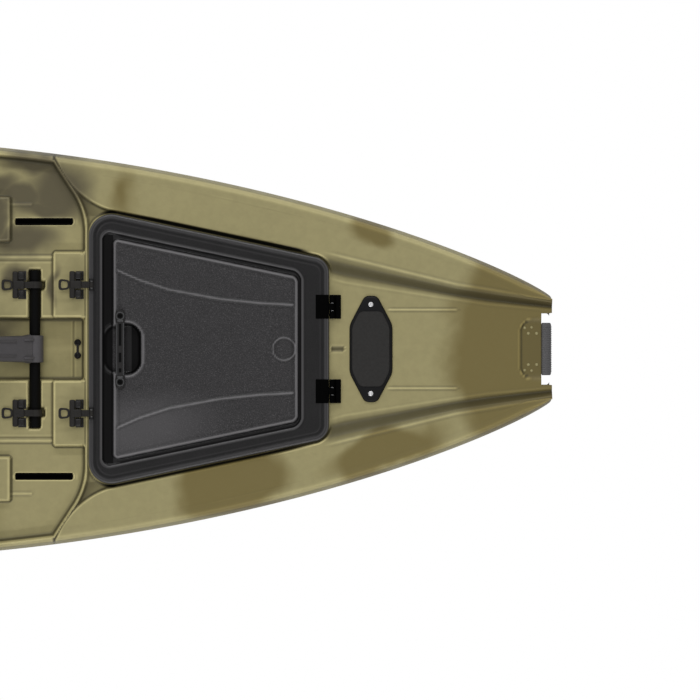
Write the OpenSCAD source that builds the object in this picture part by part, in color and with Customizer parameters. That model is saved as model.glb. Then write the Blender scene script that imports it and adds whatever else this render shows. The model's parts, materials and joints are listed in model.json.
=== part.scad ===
// Pedal kayak: sit-on-top hull with a tilting propeller drive, framed seat and stern rudder.
// +X is the bow, +Y is port, +Z is up. The keel rests on z = 0. All sizes are in millimetres.

/* [Hull] */
// Overall length from the rudder head to the bow horns
overall_l = 3200; // [3120:10:3280]
// Greatest beam
beam = 930; // [900:5:960]
// How far forward of the middle the greatest beam lies
beam_x = -37; // [-60:1:0]
// Half width of the squared bow
bow_half = 114; // [111:1:118]
// Half width of the transom
stern_half = 150; // [135:1:170]
// Height of the keel at the bow
bow_rise = 200; // [150:5:215]
// Height of the keel at the transom
stern_rise = 110; // [60:5:140]
// Height of the seam between hull and deck amidships
seam_z = 235; // [220:1:250]
// Wall of the hull and deck
wall = 6; // [5:0.5:8]

/* [Deck] */
// Height of the gunwale amidships
gunwale_z = 352; // [348:1:358]
// Height of the flat that the hatch lid closes on
deck_z = 350; // [346:1:351]
// Height of the side trays beside the footwell
tray_z = 330; // [326:1:334]
// Height of the footwell floor
floor_z = 90; // [80:1:100]
// Half width of the footwell
footwell_half = 215; // [200:1:218]
// Half width of the slot that the drive leg swings through
slot_half = 50; // [46:1:54]
// Height of the tank well floor
tank_z = 230; // [220:1:250]

/* [Hatch lid] */
// Aft edge of the lid
lid_aft_x = 591; // [588:1:592]
// Forward edge of the lid
lid_fore_x = 1115; // [1110:1:1116]
// Half width of the lid at its aft corners
lid_aft_half = 306; // [296:1:308]
// Half width of the lid at its forward corners
lid_fore_half = 195; // [190:1:197]
// Thickness of the lid plate
lid_t = 8; // [6:1:9]
// Height of the lid's raised panel above its rim
lid_panel_h = 6; // [3:1:8]
// Half spacing of the two hatch latches and of the two drive latches
latch_y = 140; // [136:1:144]
// Half spacing of the two lid hinges
hinge_y = 92; // [88:1:96]

/* [Pedal drive] */
// Where the cross tube that the drive tilts on crosses the cockpit
pivot_x = 472; // [470:1:474]
// Radius of the cross tube
tube_r = 12; // [11:0.5:12.5]
// Length of the cross tube
tube_l = 344; // [336:1:348]
// Distance from the cross tube to the drive leg
arm_l = 450; // [440:1:455]
// Width of the drive arm
arm_w = 59; // [54:1:62]
// Height of the crank axle over the cross tube with the drive down
crank_h = 160; // [155:1:170]
// Depth of the propeller shaft under the cross tube with the drive down
leg_l = 482; // [478:1:490]
// How far the drive is tilted up in the pose that is modelled
tilt = 40; // [38:1:42]
// Crank radius
crank_r = 130; // [120:1:135]
// Propeller radius
prop_r = 127; // [110:1:130]
// Running clearance of a shaft in its bearing
run_gap = 0.05; // [0.02:0.01:0.1]

/* [Seat] */
// Half spacing of the seat rails
rail_y = 240; // [236:1:244]
// Aft end of the seat
seat_x = -840; // [-846:1:-834]
// Depth of the seat from front to back
seat_l = 390; // [370:1:396]
// Height of the backrest
back_l = 430; // [380:1:440]
// Recline of the backrest
recline = 15; // [10:1:18]

/* [Rudder] */
// Length of the rudder blade from its pivot
blade_l = 560; // [520:1:580]
// Width of the rudder blade
blade_h = 90; // [70:1:95]

/* [Hidden] */
$fn = 48;
gap = 0.3;

// Ends of the hull: the rudder head takes up the last stretch at the stern
bow_x = overall_l / 2;
rudder_reach = 40;
stern_x = -overall_l / 2 + rudder_reach;
rocker_x = 900;
plan_fullness = 1.95;
plan_taper = 0.852;
gunwale_in = 20;

// Half beam at x
function plan_half(x) =
    let (reach = x > beam_x ? bow_x - beam_x : beam_x - stern_x,
         end_half = x > beam_x ? bow_half : stern_half,
         u = min(1, abs(x - beam_x) / reach))
    end_half + (beam / 2 - end_half) * pow(max(0, 1 - pow(u, plan_fullness)), plan_taper);
function keel_z(x) =
    x > rocker_x ? bow_rise * pow((x - rocker_x) / (bow_x - rocker_x), 2.2)
    : x < -rocker_x ? stern_rise * pow((-x - rocker_x) / (-stern_x - rocker_x), 2)
    : 0;
function seam_at(x) = seam_z + (x > 0 ? 70 : 25) * pow(abs(x) / bow_x, 2);
function gunwale_at(x) = gunwale_z + (x > 0 ? 50 : 16) * pow(abs(x) / bow_x, 2.5);
function clamp(v) = max(0, min(1, v));
// The middle of the foredeck: its half width, its height and how far it lies below the side decks
lid_slope = (lid_aft_half - lid_fore_half) / (lid_fore_x - lid_aft_x);
panel_margin = 8;
panel_tip_half = 104;
function panel_half(x) = x < lid_fore_x
    ? lid_fore_half + panel_margin + (lid_fore_x - x) * lid_slope
    : lid_fore_half + panel_margin
      - (lid_fore_half + panel_margin - panel_tip_half) * (x - lid_fore_x) / (bow_x - lid_fore_x);
function panel_z(x) = deck_z + max(0, x - lid_fore_x - 20) * 0.06;
function panel_drop(x) = 1 + 15 * clamp((x - 1000) / 150);
panel_slope_w = 12;

// One half of the hull's section as share of the half beam and share of the depth below the seam
hull_shares = [[0, 0], [0.17, 0], [0.25, 0.07], [0.38, 0.07], [0.48, 0], [0.70, 0.01], [0.86, 0.13],
    [0.95, 0.42], [1, 1]];
function bow_share(x) = pow(clamp((x - 700) / (bow_x - 700)), 1.4);
function hull_point(x, p, t) =
    let (s = bow_share(x), half = plan_half(x), k = keel_z(x), d = seam_at(x) - k,
         narrow = 1 - 0.55 * s * (1 - p[0]))
    [x, (half - t) * p[0] * narrow, k + d * p[1] * (1 - s * (p[1] < 0.1 ? 1 : 0.2 * (1 - p[1])))
        + t * (1 - p[1])];
function hull_ring(x, t, lift) = concat(
    [for (i = [len(hull_shares) - 1 : -1 : 0])
        hull_point(x, hull_shares[i], t) + [0, 0, i == len(hull_shares) - 1 ? lift : 0]],
    [for (i = [1 : len(hull_shares) - 1])
        let (q = hull_point(x, hull_shares[i], t))
        [q[0], -q[1], q[2] + (i == len(hull_shares) - 1 ? lift : 0)]]);
// At the two ends the gunwale comes down to the middle of the deck
function deck_half_ring(x, t, end) =
    let (b = plan_half(x) - t, s = seam_at(x), w = panel_half(x), z = panel_z(x) - t,
         g = end ? z + 2 : gunwale_at(x) - t, e = min(w + panel_slope_w, b - gunwale_in - 20))
    [[x, b, s - (t > 0 ? wall : 0)], [x, b - 4, s + 0.55 * (g - s)], [x, b - 10, g - 14],
     [x, b - gunwale_in, g], [x, b - gunwale_in - 16, g - (end ? 1 : 2)],
     [x, e, z + (end ? 0.5 : panel_drop(x))], [x, min(w, e - 2), z], [x, 0, z]];
function deck_ring(x, t, end) = let (h = deck_half_ring(x, t, end), n = len(h))
    concat([for (p = h) [p[0], -p[1], p[2]]], [for (i = [n - 2 : -1 : 0]) h[i]]);
// Stations lie where the plan or the deck turns, and crowd towards the ends
breaks = [stern_x + 8, stern_x + 40, -1350, -1150, -930, -700, -450, -200, beam_x, 180, 380, 570, 750,
    880,
    lid_fore_x - 115, lid_fore_x + 20, 1250, 1370, 1480, bow_x - 60, bow_x - 22, bow_x - 6];
function stations(from, to) = concat([from], [for (x = breaks) if (x > from + 4 && x < to - 4) x], [to]);
// Each end of a loft dishes in by a millimetre towards its middle
module loft(rings) {
    n = len(rings[0]);
    m = len(rings);
    mid = function(r, dish) [r[0][0] + dish, 0, (r[0][2] + r[floor(n / 2)][2]) / 2];
    sides = [for (i = [0 : m - 2], j = [0 : n - 1], k = [0, 1])
        let (a = i * n + j, b = i * n + (j + 1) % n)
        k == 0 ? [a, b, b + n] : [a, b + n, a + n]];
    ends = [for (j = [0 : n - 1], k = [0, 1])
        let (a = k * (m - 1) * n + j, b = k * (m - 1) * n + (j + 1) % n)
        k == 0 ? [m * n, b, a] : [m * n + 1, a, b]];
    polyhedron(
        points = concat([for (r = rings) each r], [mid(rings[0], 1), mid(rings[m - 1], -1)]),
        faces = concat(sides, ends),
        convexity = 8);
}
module hull_loft(t, lift, from, to)
    loft([for (x = stations(from, to)) hull_ring(x, t, lift)]);
module deck_loft(t, from, to)
    loft([for (x = stations(from, to)) deck_ring(x, t, x == from || x == to)]);
// A box given by its low and high corners
module block(low, high) translate(low) cube(high - low);
// The same shape at port and starboard
module both_sides() {
    children();
    mirror([0, 1, 0]) children();
}
// A rod along Y or X, centred on the origin
module rod_y(r, l) rotate([90, 0, 0]) cylinder(r = r, h = l, center = true);
module rod_x(r, l) rotate([0, 90, 0]) cylinder(r = r, h = l, center = true);

// Bow notch for the handle, between the two horns
horn_inner = 78.5;
notch_x = bow_x - 23;
solid_bow = 75;
solid_stern = 40;

// Drive leg slot through the floor and the bottom
slot_fore_x = 75;
slot_aft_x = -355;
coaming_h = 20;
module leg_slot(grow, low, high)
    block([slot_aft_x - grow, -slot_half - grow, low], [slot_fore_x + grow, slot_half + grow, high]);

// Drain at the stern
drain_z = 190;
drain_y = 90;
drain_r = 14;

module hull_shell() color([0.55, 0.52, 0.36]) difference() {
    hull_loft(0, 0, stern_x, bow_x);
    hull_loft(wall, 15, stern_x + solid_stern, bow_x - solid_bow);
    leg_slot(0, -10, floor_z);
    block([notch_x, -horn_inner, -10], [bow_x + 10, horn_inner, gunwale_z + 100]);
    translate([stern_x, drain_y, drain_z]) rod_x(drain_r, 2 * solid_stern + 10);
    rudder_recess();
}

// Cockpit outline: it follows the gunwale, then turns in along the foredeck's aft edge
rim_w = 22;
console_x = 330;
riser_x = 578;
riser_half = 305;
crease_x = 511;
cockpit_aft_x = -880;
tray_steps = 16;
function tray_outline(grow) = let (
    side = [for (i = [0 : tray_steps])
        let (x = cockpit_aft_x - grow + (crease_x - cockpit_aft_x + grow) * i / tray_steps)
        [x, plan_half(x) - rim_w + grow]],
    crease = [for (u = [0.25 : 0.25 : 1])
        [crease_x + (riser_x - 6 - crease_x) * u + grow,
         riser_half + (plan_half(crease_x) - rim_w - riser_half) * (1 - u) + grow]],
    half = concat(side, crease, [[riser_x + grow, riser_half - 10 + grow]]))
    concat(half, [for (i = [len(half) - 1 : -1 : 0]) [half[i][0], -half[i][1]]]);
// Tank well outline
tank_aft_x = stern_x * 35 / 39;
tank_fore_x = stern_x * 101 / 156;
tank_margin = 75;
function tank_outline(grow) = let (
    half = [for (i = [0 : 8])
        let (x = tank_aft_x - grow + (tank_fore_x - tank_aft_x + 2 * grow) * i / 8)
        [x, plan_half(x) - tank_margin + grow]])
    concat(half, [for (i = [len(half) - 1 : -1 : 0]) [half[i][0], -half[i][1]]]);
// Trapezium with rounded corners, as the hatch and its lid have, drawn in by inset
function lid_outline(inset, r_aft = 50, r_fore = 37) = let (
    x0 = lid_aft_x + inset, x1 = lid_fore_x - inset,
    lean = atan(lid_slope), w0 = lid_aft_half - inset / cos(lean) - inset * lid_slope,
    w1 = lid_fore_half - inset / cos(lean) + inset * lid_slope,
    ra = max(4, r_aft - inset), rf = max(4, r_fore - inset),
    yc0 = w0 - ra * lid_slope - ra / cos(lean), yc1 = w1 + rf * lid_slope - rf / cos(lean),
    a1 = 90 - lean,
    half = concat(
        [for (i = [0 : 8]) let (a = 180 - (180 - a1) * i / 8) [x0 + ra + ra * cos(a), yc0 + ra * sin(a)]],
        [for (i = [0 : 8]) let (a = a1 * (1 - i / 8)) [x1 - rf + rf * cos(a), yc1 + rf * sin(a)]]))
    concat(half, [for (i = [len(half) - 1 : -1 : 0]) [half[i][0], -half[i][1]]]);
module lid_prism(inset, low, high)
    translate([0, 0, low]) linear_extrude(high - low) polygon(lid_outline(inset));

// Heights of the lid and its seat
lid_low = deck_z + 8;
lid_top = lid_low + lid_t;
coaming_inset = 27;
coaming_w = 6;
skirt_w = 6;
gasket_inset = 9;
gasket_w = 10;

// Cross tube, console and channel
tube_z = tray_z - tube_r;
channel_half = 67.5;
channel_z = 285;
trough_play = 2;
eye_wall = 5;
module console_cuts() {
    block([console_x - 10, -channel_half, channel_z], [riser_x, channel_half, gunwale_z + 60]);
    block([pivot_x - tube_r - trough_play, -tube_l / 2 - 1, tube_z - tube_r],
        [pivot_x + tube_r + trough_play, tube_l / 2 + 1, gunwale_z + 60]);
    both_sides() block([pivot_x - 22, latch_y - 18, tube_z - tube_r - eye_wall - 3],
        [pivot_x + 22, latch_y + 18, gunwale_z + 60]);
}
// Raised pads under the hatch latches
pad_x0 = 513;
pad_z = 345;
pad_outer_y = 212;
// Gear track slots
track_x0 = 430;
track_x1 = 555;
track_y = 278.5;
track_w = 18;
track_d = 16;

module deck_body() {
    difference() {
        deck_loft(0, stern_x, bow_x);
        deck_loft(wall, stern_x + solid_stern, bow_x - solid_bow);
    }
    translate([0, 0, tray_z - wall]) linear_extrude(gunwale_z - 6 - tray_z + wall)
        polygon(tray_outline(wall));
    block([cockpit_aft_x + 24, -footwell_half - wall, floor_z - wall],
        [console_x + wall, footwell_half + wall, tray_z]);
    block([console_x, -channel_half - wall, channel_z - wall], [riser_x + wall, channel_half + wall,
        tray_z]);
    block([pivot_x - 30, -tube_l / 2 - 8, tube_z - tube_r - eye_wall - 3 - wall],
        [pivot_x + 30, tube_l / 2 + 8, tray_z]);
    both_sides() block([track_x0 - wall, track_y - track_w / 2 - wall, tray_z - track_d - wall],
        [track_x1 + wall, track_y + track_w / 2 + wall, tray_z]);
    lid_prism(coaming_inset - coaming_w, deck_z - wall, deck_z + wall);
    translate([0, 0, tank_z - wall]) linear_extrude(deck_z - 2 - tank_z + wall)
        polygon(tank_outline(wall));
    leg_slot(wall, wall, floor_z + coaming_h);
}
module deck_shell() color([0.55, 0.52, 0.36]) difference() {
    union() {
        deck_cut();
        difference() {
            leg_slot(wall, floor_z - 1, floor_z + coaming_h);
            leg_slot(0, floor_z - 10, floor_z + coaming_h + 10);
        }
        both_sides() block([pad_x0, channel_half, tray_z - 1], [riser_x + 1, pad_outer_y, pad_z]);
    }
    rudder_recess();
    deck_holes();
}
module deck_cut() difference() {
    deck_body();
    translate([0, 0, tray_z]) linear_extrude(100) polygon(tray_outline(0));
    block([cockpit_aft_x + 30, -footwell_half, floor_z], [console_x, footwell_half, gunwale_z + 60]);
    console_cuts();
    both_sides() block([track_x0, track_y - track_w / 2, tray_z - track_d],
        [track_x1, track_y + track_w / 2, gunwale_z]);
    lid_prism(coaming_inset, deck_z - 60, deck_z + 60);
    translate([0, 0, tank_z]) linear_extrude(200) polygon(tank_outline(0));
    leg_slot(0, -10, floor_z + coaming_h + 10);
    block([notch_x, -horn_inner, -10], [bow_x + 10, horn_inner, gunwale_z + 100]);
}

// Foredeck fittings: they lie on the slope ahead of the lid
foredeck_slope = 0.06;
module on_foredeck(x) translate([x, 0, panel_z(x)]) rotate([0, -atan(foredeck_slope), 0]) children();
plate_x = 1206.5;
plate_half_x = 45.8;
plate_half_y = 115;
plate_t = 7;
plate_screw_y = 97;
screw_r = 3;
module plate_screw_places() on_foredeck(plate_x) both_sides() translate([0, plate_screw_y, 0]) children();
// Bow handle: its tongue is bolted under the deck
handle_half = 57;
tongue_z = 350;
tongue_t = 12;
tongue_x0 = notch_x - 40;
bolt_r = 3;
module bow_bolt_places() for (x = [notch_x - 28, notch_x - 10], y = [-34, 34]) translate([x, y, 0])
    children();
recess_z = panel_z(notch_x) - 6;
// Side carry handles, in line with the gunwale where they sit
grip_x = -640;
grip_z = 285;
grip_l = 120;
grip_stand = 22;
grip_turn = atan((plan_half(grip_x + 60) - plan_half(grip_x - 60)) / 120);
module at_side_handles() both_sides()
    translate([grip_x, plan_half(grip_x), grip_z]) rotate([0, 0, grip_turn]) children();
// Rod holders lean aft
rod_x = (tank_fore_x + cockpit_aft_x) / 2;
rod_y_at = 250;
rod_lean = 20;
rod_bore_r = 21.5;
rod_wall = 3;
rod_depth = 230;
module at_rod_holders() both_sides() translate([rod_x, rod_y_at, deck_z]) rotate([0, -rod_lean, 0])
    children();
// Steering lever on the port tray
lever_x = -200;
lever_y = 375;
lever_pin_r = 6;
// Eyelet between the hatch latches
eyelet_x = 564;
eyelet_y = 28;

module deck_holes() {
    plate_screw_places() translate([0, 0, -20]) cylinder(r = screw_r, h = 30);
    block([tongue_x0, -handle_half + 6, tongue_z], [notch_x + 5, handle_half - 6, tongue_z + tongue_t]);
    block([notch_x - 44, -62, recess_z], [notch_x + 5, 62, gunwale_z + 100]);
    bow_bolt_places() translate([0, 0, tongue_z - 10]) cylinder(r = bolt_r, h = 60);
    at_side_handles() for (x = [-grip_l / 2, grip_l / 2]) translate([x, 0, 0]) rod_y(bolt_r, 60);
    at_rod_holders() cylinder(r = rod_bore_r + rod_wall, h = 60, center = true);
    translate([lever_x, lever_y, tray_z - 20]) cylinder(r = lever_pin_r, h = 30);
}

// Closed cell blocks that keep the hull afloat
bow_foam_x = bow_x * 0.803;
bow_foam_l = overall_l / 16;
bow_foam_w = beam * 0.129;
bow_foam_h = 130;
module bow_foam() color([0.9, 0.9, 0.88]) on_foredeck(bow_foam_x)
    block([-bow_foam_l / 2, -bow_foam_w / 2, -wall - gap - bow_foam_h],
        [bow_foam_l / 2, bow_foam_w / 2, -wall - gap]);
stern_foam_w = beam * 0.2365;
stern_foam_low = 100;
module stern_foam() color([0.9, 0.9, 0.88])
    block([tank_aft_x + 30, -stern_foam_w / 2, stern_foam_low],
        [tank_fore_x - 10, stern_foam_w / 2, tank_z - wall]);

module hatch_gasket() color([0.07, 0.07, 0.07]) difference() {
    lid_prism(gasket_inset, deck_z, lid_low);
    lid_prism(gasket_inset + gasket_w, deck_z - 1, lid_low + 1);
}

// Lid: plate, skirt, groove, raised panel and finger pocket
hinge_x = lid_fore_x + 7;
hinge_z = lid_low + lid_t / 2;
knuckle_r = 6;
hinge_pin_r = 3;
hinge_half = 26;
lid_knuckle_half = 8;
latch_pin_x = lid_aft_x + 7;
latch_pin_z = lid_top + 5;
latch_pin_r = 2.5;
latch_eye_r = 5;
strap_half = 7.5;
pocket_x0 = 625;
pocket_x1 = 709;
pocket_half = 59;
strap_x = 660.5;
handle_screw_y = 72;
pocket_d = 18;
module hatch_lid() color([0.2, 0.2, 0.21]) difference() {
    union() {
        lid_prism(0, deck_z + gap, lid_top);
        lid_prism(50, lid_top - 1, lid_top + lid_panel_h);
        block([pocket_x0 - 4, -pocket_half - 4, lid_top - pocket_d - 4], [pocket_x1 + 4,
            pocket_half + 4, lid_top]);
        both_sides() translate([0, latch_y, 0]) for (s = [-1, 1])
            translate([latch_pin_x, s * (strap_half + 3), latch_pin_z]) {
                rod_y(latch_eye_r, 5);
                block([-latch_eye_r, -2.5, -latch_eye_r - 1], [latch_eye_r, 2.5, 0]);
            }
        both_sides() translate([hinge_x, hinge_y, hinge_z]) {
            rod_y(knuckle_r, 2 * lid_knuckle_half);
            block([-9, -lid_knuckle_half, -4], [0, lid_knuckle_half, 4]);
        }
        both_sides() block([lid_fore_x - 24, hinge_y - hinge_half, lid_top - 1],
            [lid_fore_x - 1, hinge_y + hinge_half, lid_top + 2]);
    }
    difference() {
        lid_prism(skirt_w, deck_z - 10, lid_low);
        block([pocket_x0 - 4, -pocket_half - 4, lid_top - pocket_d - 4], [pocket_x1 + 4,
            pocket_half + 4, lid_low]);
    }
    difference() {
        lid_prism(30, lid_top - 4, lid_top + 1);
        lid_prism(44, lid_top - 5, lid_top + 2);
    }
    block([pocket_x0, -pocket_half, lid_top - pocket_d], [pocket_x1, pocket_half, lid_top + 20]);
    both_sides() translate([latch_pin_x, latch_y, latch_pin_z]) rod_y(latch_pin_r, 40);
    both_sides() translate([hinge_x, hinge_y, hinge_z]) rod_y(hinge_pin_r + run_gap, 60);
    both_sides() translate([strap_x, handle_screw_y, lid_top - 6]) cylinder(r = screw_r, h = 20);
    both_sides() translate([hinge_x, hinge_y, hinge_z]) for (s = [-1, 1])
        translate([0, s * (lid_knuckle_half + hinge_half) / 2, 0])
            rod_y(knuckle_r + 0.6, hinge_half - lid_knuckle_half);
}
handle_w = 13;
handle_t = 5;
handle_l = 176;
lid_face_z = lid_top + lid_panel_h;
module lid_handle() color([0.1, 0.1, 0.1]) difference() {
    union() {
        block([strap_x - handle_w / 2, -handle_l / 2 + 7, lid_face_z], [strap_x + handle_w / 2,
            handle_l / 2 - 7,
            lid_face_z + handle_t]);
        both_sides() translate([strap_x, handle_l / 2 - 7, lid_face_z]) cylinder(r = handle_w / 2,
            h = handle_t);
    }
    both_sides() translate([strap_x, handle_screw_y, 0]) cylinder(r = screw_r, h = 500);
}
module lid_handle_screws() color([0.75, 0.75, 0.75]) both_sides() translate([strap_x, handle_screw_y,
    0]) {
    translate([0, 0, lid_top - 5]) cylinder(r = screw_r, h = lid_panel_h + handle_t + 5);
    translate([0, 0, lid_face_z + handle_t]) cylinder(r = 5.5, h = 2.5);
}
module lid_hinge_leaves() color([0.05, 0.05, 0.05]) difference() {
    both_sides() translate([hinge_x, hinge_y, 0]) for (s = [-1, 1]) {
        translate([0, s * (lid_knuckle_half + hinge_half) / 2 + s * gap, hinge_z])
            rod_y(knuckle_r, hinge_half - lid_knuckle_half - 2 * gap);
        translate([0, s * (lid_knuckle_half + hinge_half) / 2 + s * gap, 0])
            block([-3, -(hinge_half - lid_knuckle_half) / 2 + gap, deck_z],
                [12, (hinge_half - lid_knuckle_half) / 2 - gap, hinge_z]);
    }
    both_sides() translate([hinge_x, hinge_y, hinge_z]) rod_y(hinge_pin_r, 60);
}
module lid_hinge_pins() color([0.7, 0.7, 0.7]) both_sides() translate([hinge_x, hinge_y, hinge_z])
    rod_y(hinge_pin_r, 2 * hinge_half);
module lid_latch_pins() color([0.7, 0.7, 0.7]) both_sides() translate([latch_pin_x, latch_y, latch_pin_z])
    rod_y(latch_pin_r, 2 * strap_half + 10);

// Rubber strap: eye, tongue, cross bar and pull loop, lying aft of its pin
strap_t = 4.5;
bar_x0 = 36;
bar_x1 = 48;
bar_half = 29.5;
loop_x = 72;
loop_half = 13;
module latch_strap(bore_r, eye_r, low, bar_low) difference() {
    union() {
        rod_y(eye_r, 2 * strap_half - 2 * gap);
        block([-50, -strap_half + gap, low], [0, strap_half - gap, low + strap_t]);
        block([-loop_x, -loop_half, low], [-26, loop_half, low + strap_t]);
        block([-bar_x1, -bar_half, bar_low], [-bar_x0, bar_half, low + strap_t + 3]);
    }
    rod_y(bore_r, 40);
    block([-loop_x + 5, -loop_half + 5, low - 20], [-bar_x1 - 4, loop_half - 5, low + 20]);
}
lid_strap_low = -4.4;
module hatch_strap(side) color([0.15, 0.15, 0.16]) translate([latch_pin_x, side * latch_y, latch_pin_z])
    latch_strap(latch_pin_r + run_gap, latch_eye_r - 0.3, lid_strap_low, lid_strap_low - 12);
drive_strap_low = tube_r + 0.5;
module tube_strap(side) color([0.15, 0.15, 0.16]) translate([pivot_x, side * latch_y, tube_z])
    latch_strap(tube_r + run_gap, tube_r + eye_wall, drive_strap_low, drive_strap_low + 1);
module lid_latch_left() hatch_strap(1);
module lid_latch_right() hatch_strap(-1);
module drive_latch_left() tube_strap(1);
module drive_latch_right() tube_strap(-1);
// Keeper: two ears that the strap's cross bar hooks behind
ear_in = 16;
ear_out = 23;
module keeper(pin_x, low, high) for (s = [-1, 1]) translate([pin_x, 0, 0])
    block([-bar_x0 + 0.5, s > 0 ? ear_in : -ear_out, low], [-bar_x0 + 14, s > 0 ? ear_out : -ear_in,
        high]);
module latch_keepers() color([0.12, 0.12, 0.12]) both_sides() translate([0, latch_y, 0]) {
    keeper(latch_pin_x, pad_z, latch_pin_z + lid_strap_low + strap_t);
    keeper(pivot_x, tray_z, tube_z + drive_strap_low + strap_t);
}

module octagon(half_x, half_y, end_half, shoulder)
    polygon([[half_x, shoulder], [end_half, half_y], [-end_half, half_y], [-half_x, shoulder],
        [-half_x, -shoulder], [-end_half, -half_y], [end_half, -half_y], [half_x, -shoulder]]);
plate_end_half = 13;
plate_shoulder = 52;
module accessory_plate() color([0.2, 0.2, 0.2]) difference() {
    on_foredeck(plate_x) translate([0, 0, gap]) linear_extrude(plate_t)
        octagon(plate_half_x, plate_half_y, plate_end_half, plate_shoulder);
    plate_screw_places() translate([0, 0, -20]) cylinder(r = screw_r, h = 60);
}
pad_t = 2.5;
module plate_pad() color([0.23, 0.23, 0.23]) on_foredeck(plate_x) translate([0, 0, gap + plate_t])
    linear_extrude(pad_t) octagon(plate_half_x - 5, plate_half_y - 33, 24, plate_shoulder - 4);
module plate_screws() color([0.85, 0.85, 0.85]) plate_screw_places() {
    translate([0, 0, -12]) cylinder(r = screw_r, h = 12 + gap + plate_t);
    translate([0, 0, gap + plate_t]) cylinder(r = 5.5, h = 2.5);
}

grip_ribs = 9;
module bow_handle() color([0.37, 0.37, 0.38]) difference() {
    union() {
        block([notch_x + gap, -handle_half, tongue_z - 4], [bow_x, handle_half, tongue_z + 24]);
        block([tongue_x0 + 1, -handle_half + 7, tongue_z + 1], [notch_x + 1, handle_half - 7,
            tongue_z + tongue_t - 1]);
    }
    for (i = [0 : grip_ribs]) let (y = -handle_half + 8 + i * (2 * handle_half - 16) / grip_ribs)
        block([bow_x - 2, y - 2, tongue_z - 5], [bow_x + 1, y + 2, tongue_z + 30]);
    bow_bolt_places() cylinder(r = bolt_r, h = 600);
}
module side_handles() color([0.12, 0.12, 0.12]) difference() {
    at_side_handles() {
        translate([0, grip_stand, 0]) rod_x(8, grip_l + 24);
        for (x = [-grip_l / 2, grip_l / 2]) translate([x, 0, 0])
            block([-9, gap, -9], [9, grip_stand, 9]);
    }
    at_side_handles() for (x = [-grip_l / 2, grip_l / 2]) translate([x, 0, 0]) rod_y(bolt_r, 100);
}
module handle_bolts() color([0.75, 0.75, 0.75]) {
    bow_bolt_places() {
        translate([0, 0, tongue_z - 6]) cylinder(r = bolt_r, h = recess_z - tongue_z + 6);
        translate([0, 0, recess_z]) cylinder(r = 5, h = 2.5);
    }
    at_side_handles() for (x = [-grip_l / 2, grip_l / 2]) translate([x, 0, 0]) {
        translate([0, (grip_stand + 8 - 14) / 2, 0]) rod_y(bolt_r, grip_stand + 8 + 14);
        translate([0, grip_stand + 8 + 1.5, 0]) rod_y(6, 3);
    }
}
module deck_eyelet() color([0.1, 0.1, 0.1]) translate([eyelet_x, 0, channel_z]) difference() {
    union() {
        both_sides() translate([0, eyelet_y / 2, 0]) cylinder(r = 7.5, h = 5);
        block([-2.5, -eyelet_y / 2, 0], [2.5, eyelet_y / 2, 3]);
    }
    both_sides() translate([0, eyelet_y / 2, -1]) cylinder(r = 3, h = 8);
}
module gear_tracks() color([0.05, 0.05, 0.05]) both_sides() difference() {
    block([track_x0, track_y - track_w / 2, tray_z - track_d], [track_x1, track_y + track_w / 2, tray_z]);
    block([track_x0 + 4, track_y - track_w / 2 + 3, tray_z - track_d + 3], [track_x1 - 4,
        track_y + track_w / 2 - 3,
        tray_z - 4]);
    block([track_x0 + 4, track_y - 3.5, tray_z - track_d + 4], [track_x1 - 4, track_y + 3.5, tray_z + 1]);
}
module rod_holders() color([0.1, 0.1, 0.1]) at_rod_holders() difference() {
    union() {
        translate([0, 0, -rod_depth]) cylinder(r = rod_bore_r + rod_wall - 0.1, h = rod_depth + 14);
        translate([0, 0, 12]) cylinder(r = rod_bore_r + 10, h = 5);
    }
    translate([0, 0, -rod_depth + 4]) cylinder(r = rod_bore_r, h = rod_depth + 40);
}
module drain_plug() color([0.1, 0.1, 0.1]) translate([stern_x, drain_y, drain_z]) {
    translate([14, 0, 0]) rod_x(drain_r - run_gap, 36);
    translate([-3, 0, 0]) rod_x(drain_r + 5, 6 - 2 * gap);
    translate([-8, 0, 0]) cube([6, 22, 6], center = true);
}
module lever_base() color([0.1, 0.1, 0.1]) translate([lever_x, lever_y, tray_z]) {
    cylinder(r = 30, h = 8);
    translate([0, 0, -18]) cylinder(r = lever_pin_r, h = 56);
    translate([0, 0, 38]) cylinder(r = 10, h = 4);
}
lever_l = 130;
module steering_lever() color([0.12, 0.12, 0.12]) translate([lever_x, lever_y, tray_z]) difference() {
    union() {
        translate([0, 0, 8 + gap]) cylinder(r = 18, h = 28);
        block([0, -8, 26], [lever_l, 8, 36]);
        translate([lever_l, 0, 26]) cylinder(r = 11, h = 40);
    }
    translate([0, 0, -1]) cylinder(r = lever_pin_r + run_gap, h = 60);
}

// Pedal drive: drawn with its leg upright, from the cross tube's axis, then tilted up
module in_drive() translate([pivot_x, 0, tube_z]) rotate([0, tilt, 0]) children();
arm_t = 26;
boss_r = 19;
bush_r = tube_r + 2.5;
bush_l = 22;
leg_arc = 45;
leg_offset = 27;
shaft_bore = 14;
case_r = 32;
box_r = 74;
box_half = 38;
box_wall = 6;
neck_r = 20;
neck_z = crank_h - box_r - 8;
axle_r = 8;
bearing_r = 16;
shaft_r = 6;
prop_shaft_r = 4;
module leg_shape() intersection() {
    translate([0, -leg_offset]) circle(r = leg_arc);
    translate([0, leg_offset]) circle(r = leg_arc);
}
module drive_tube() color([0.06, 0.06, 0.06]) translate([pivot_x, 0, tube_z]) difference() {
    rod_y(tube_r, tube_l);
    rod_y(tube_r - 2.5, tube_l + 2);
}
module drive_arm() color([0.33, 0.33, 0.35]) in_drive() difference() {
    union() {
        rod_y(boss_r, arm_w);
        block([-arm_l - 48, -arm_w / 2, -arm_t / 2], [0, arm_w / 2, arm_t / 2]);
    }
    rod_y(bush_r, arm_w + 2);
    translate([-arm_l, 0, -50]) linear_extrude(100) leg_shape();
}
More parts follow.
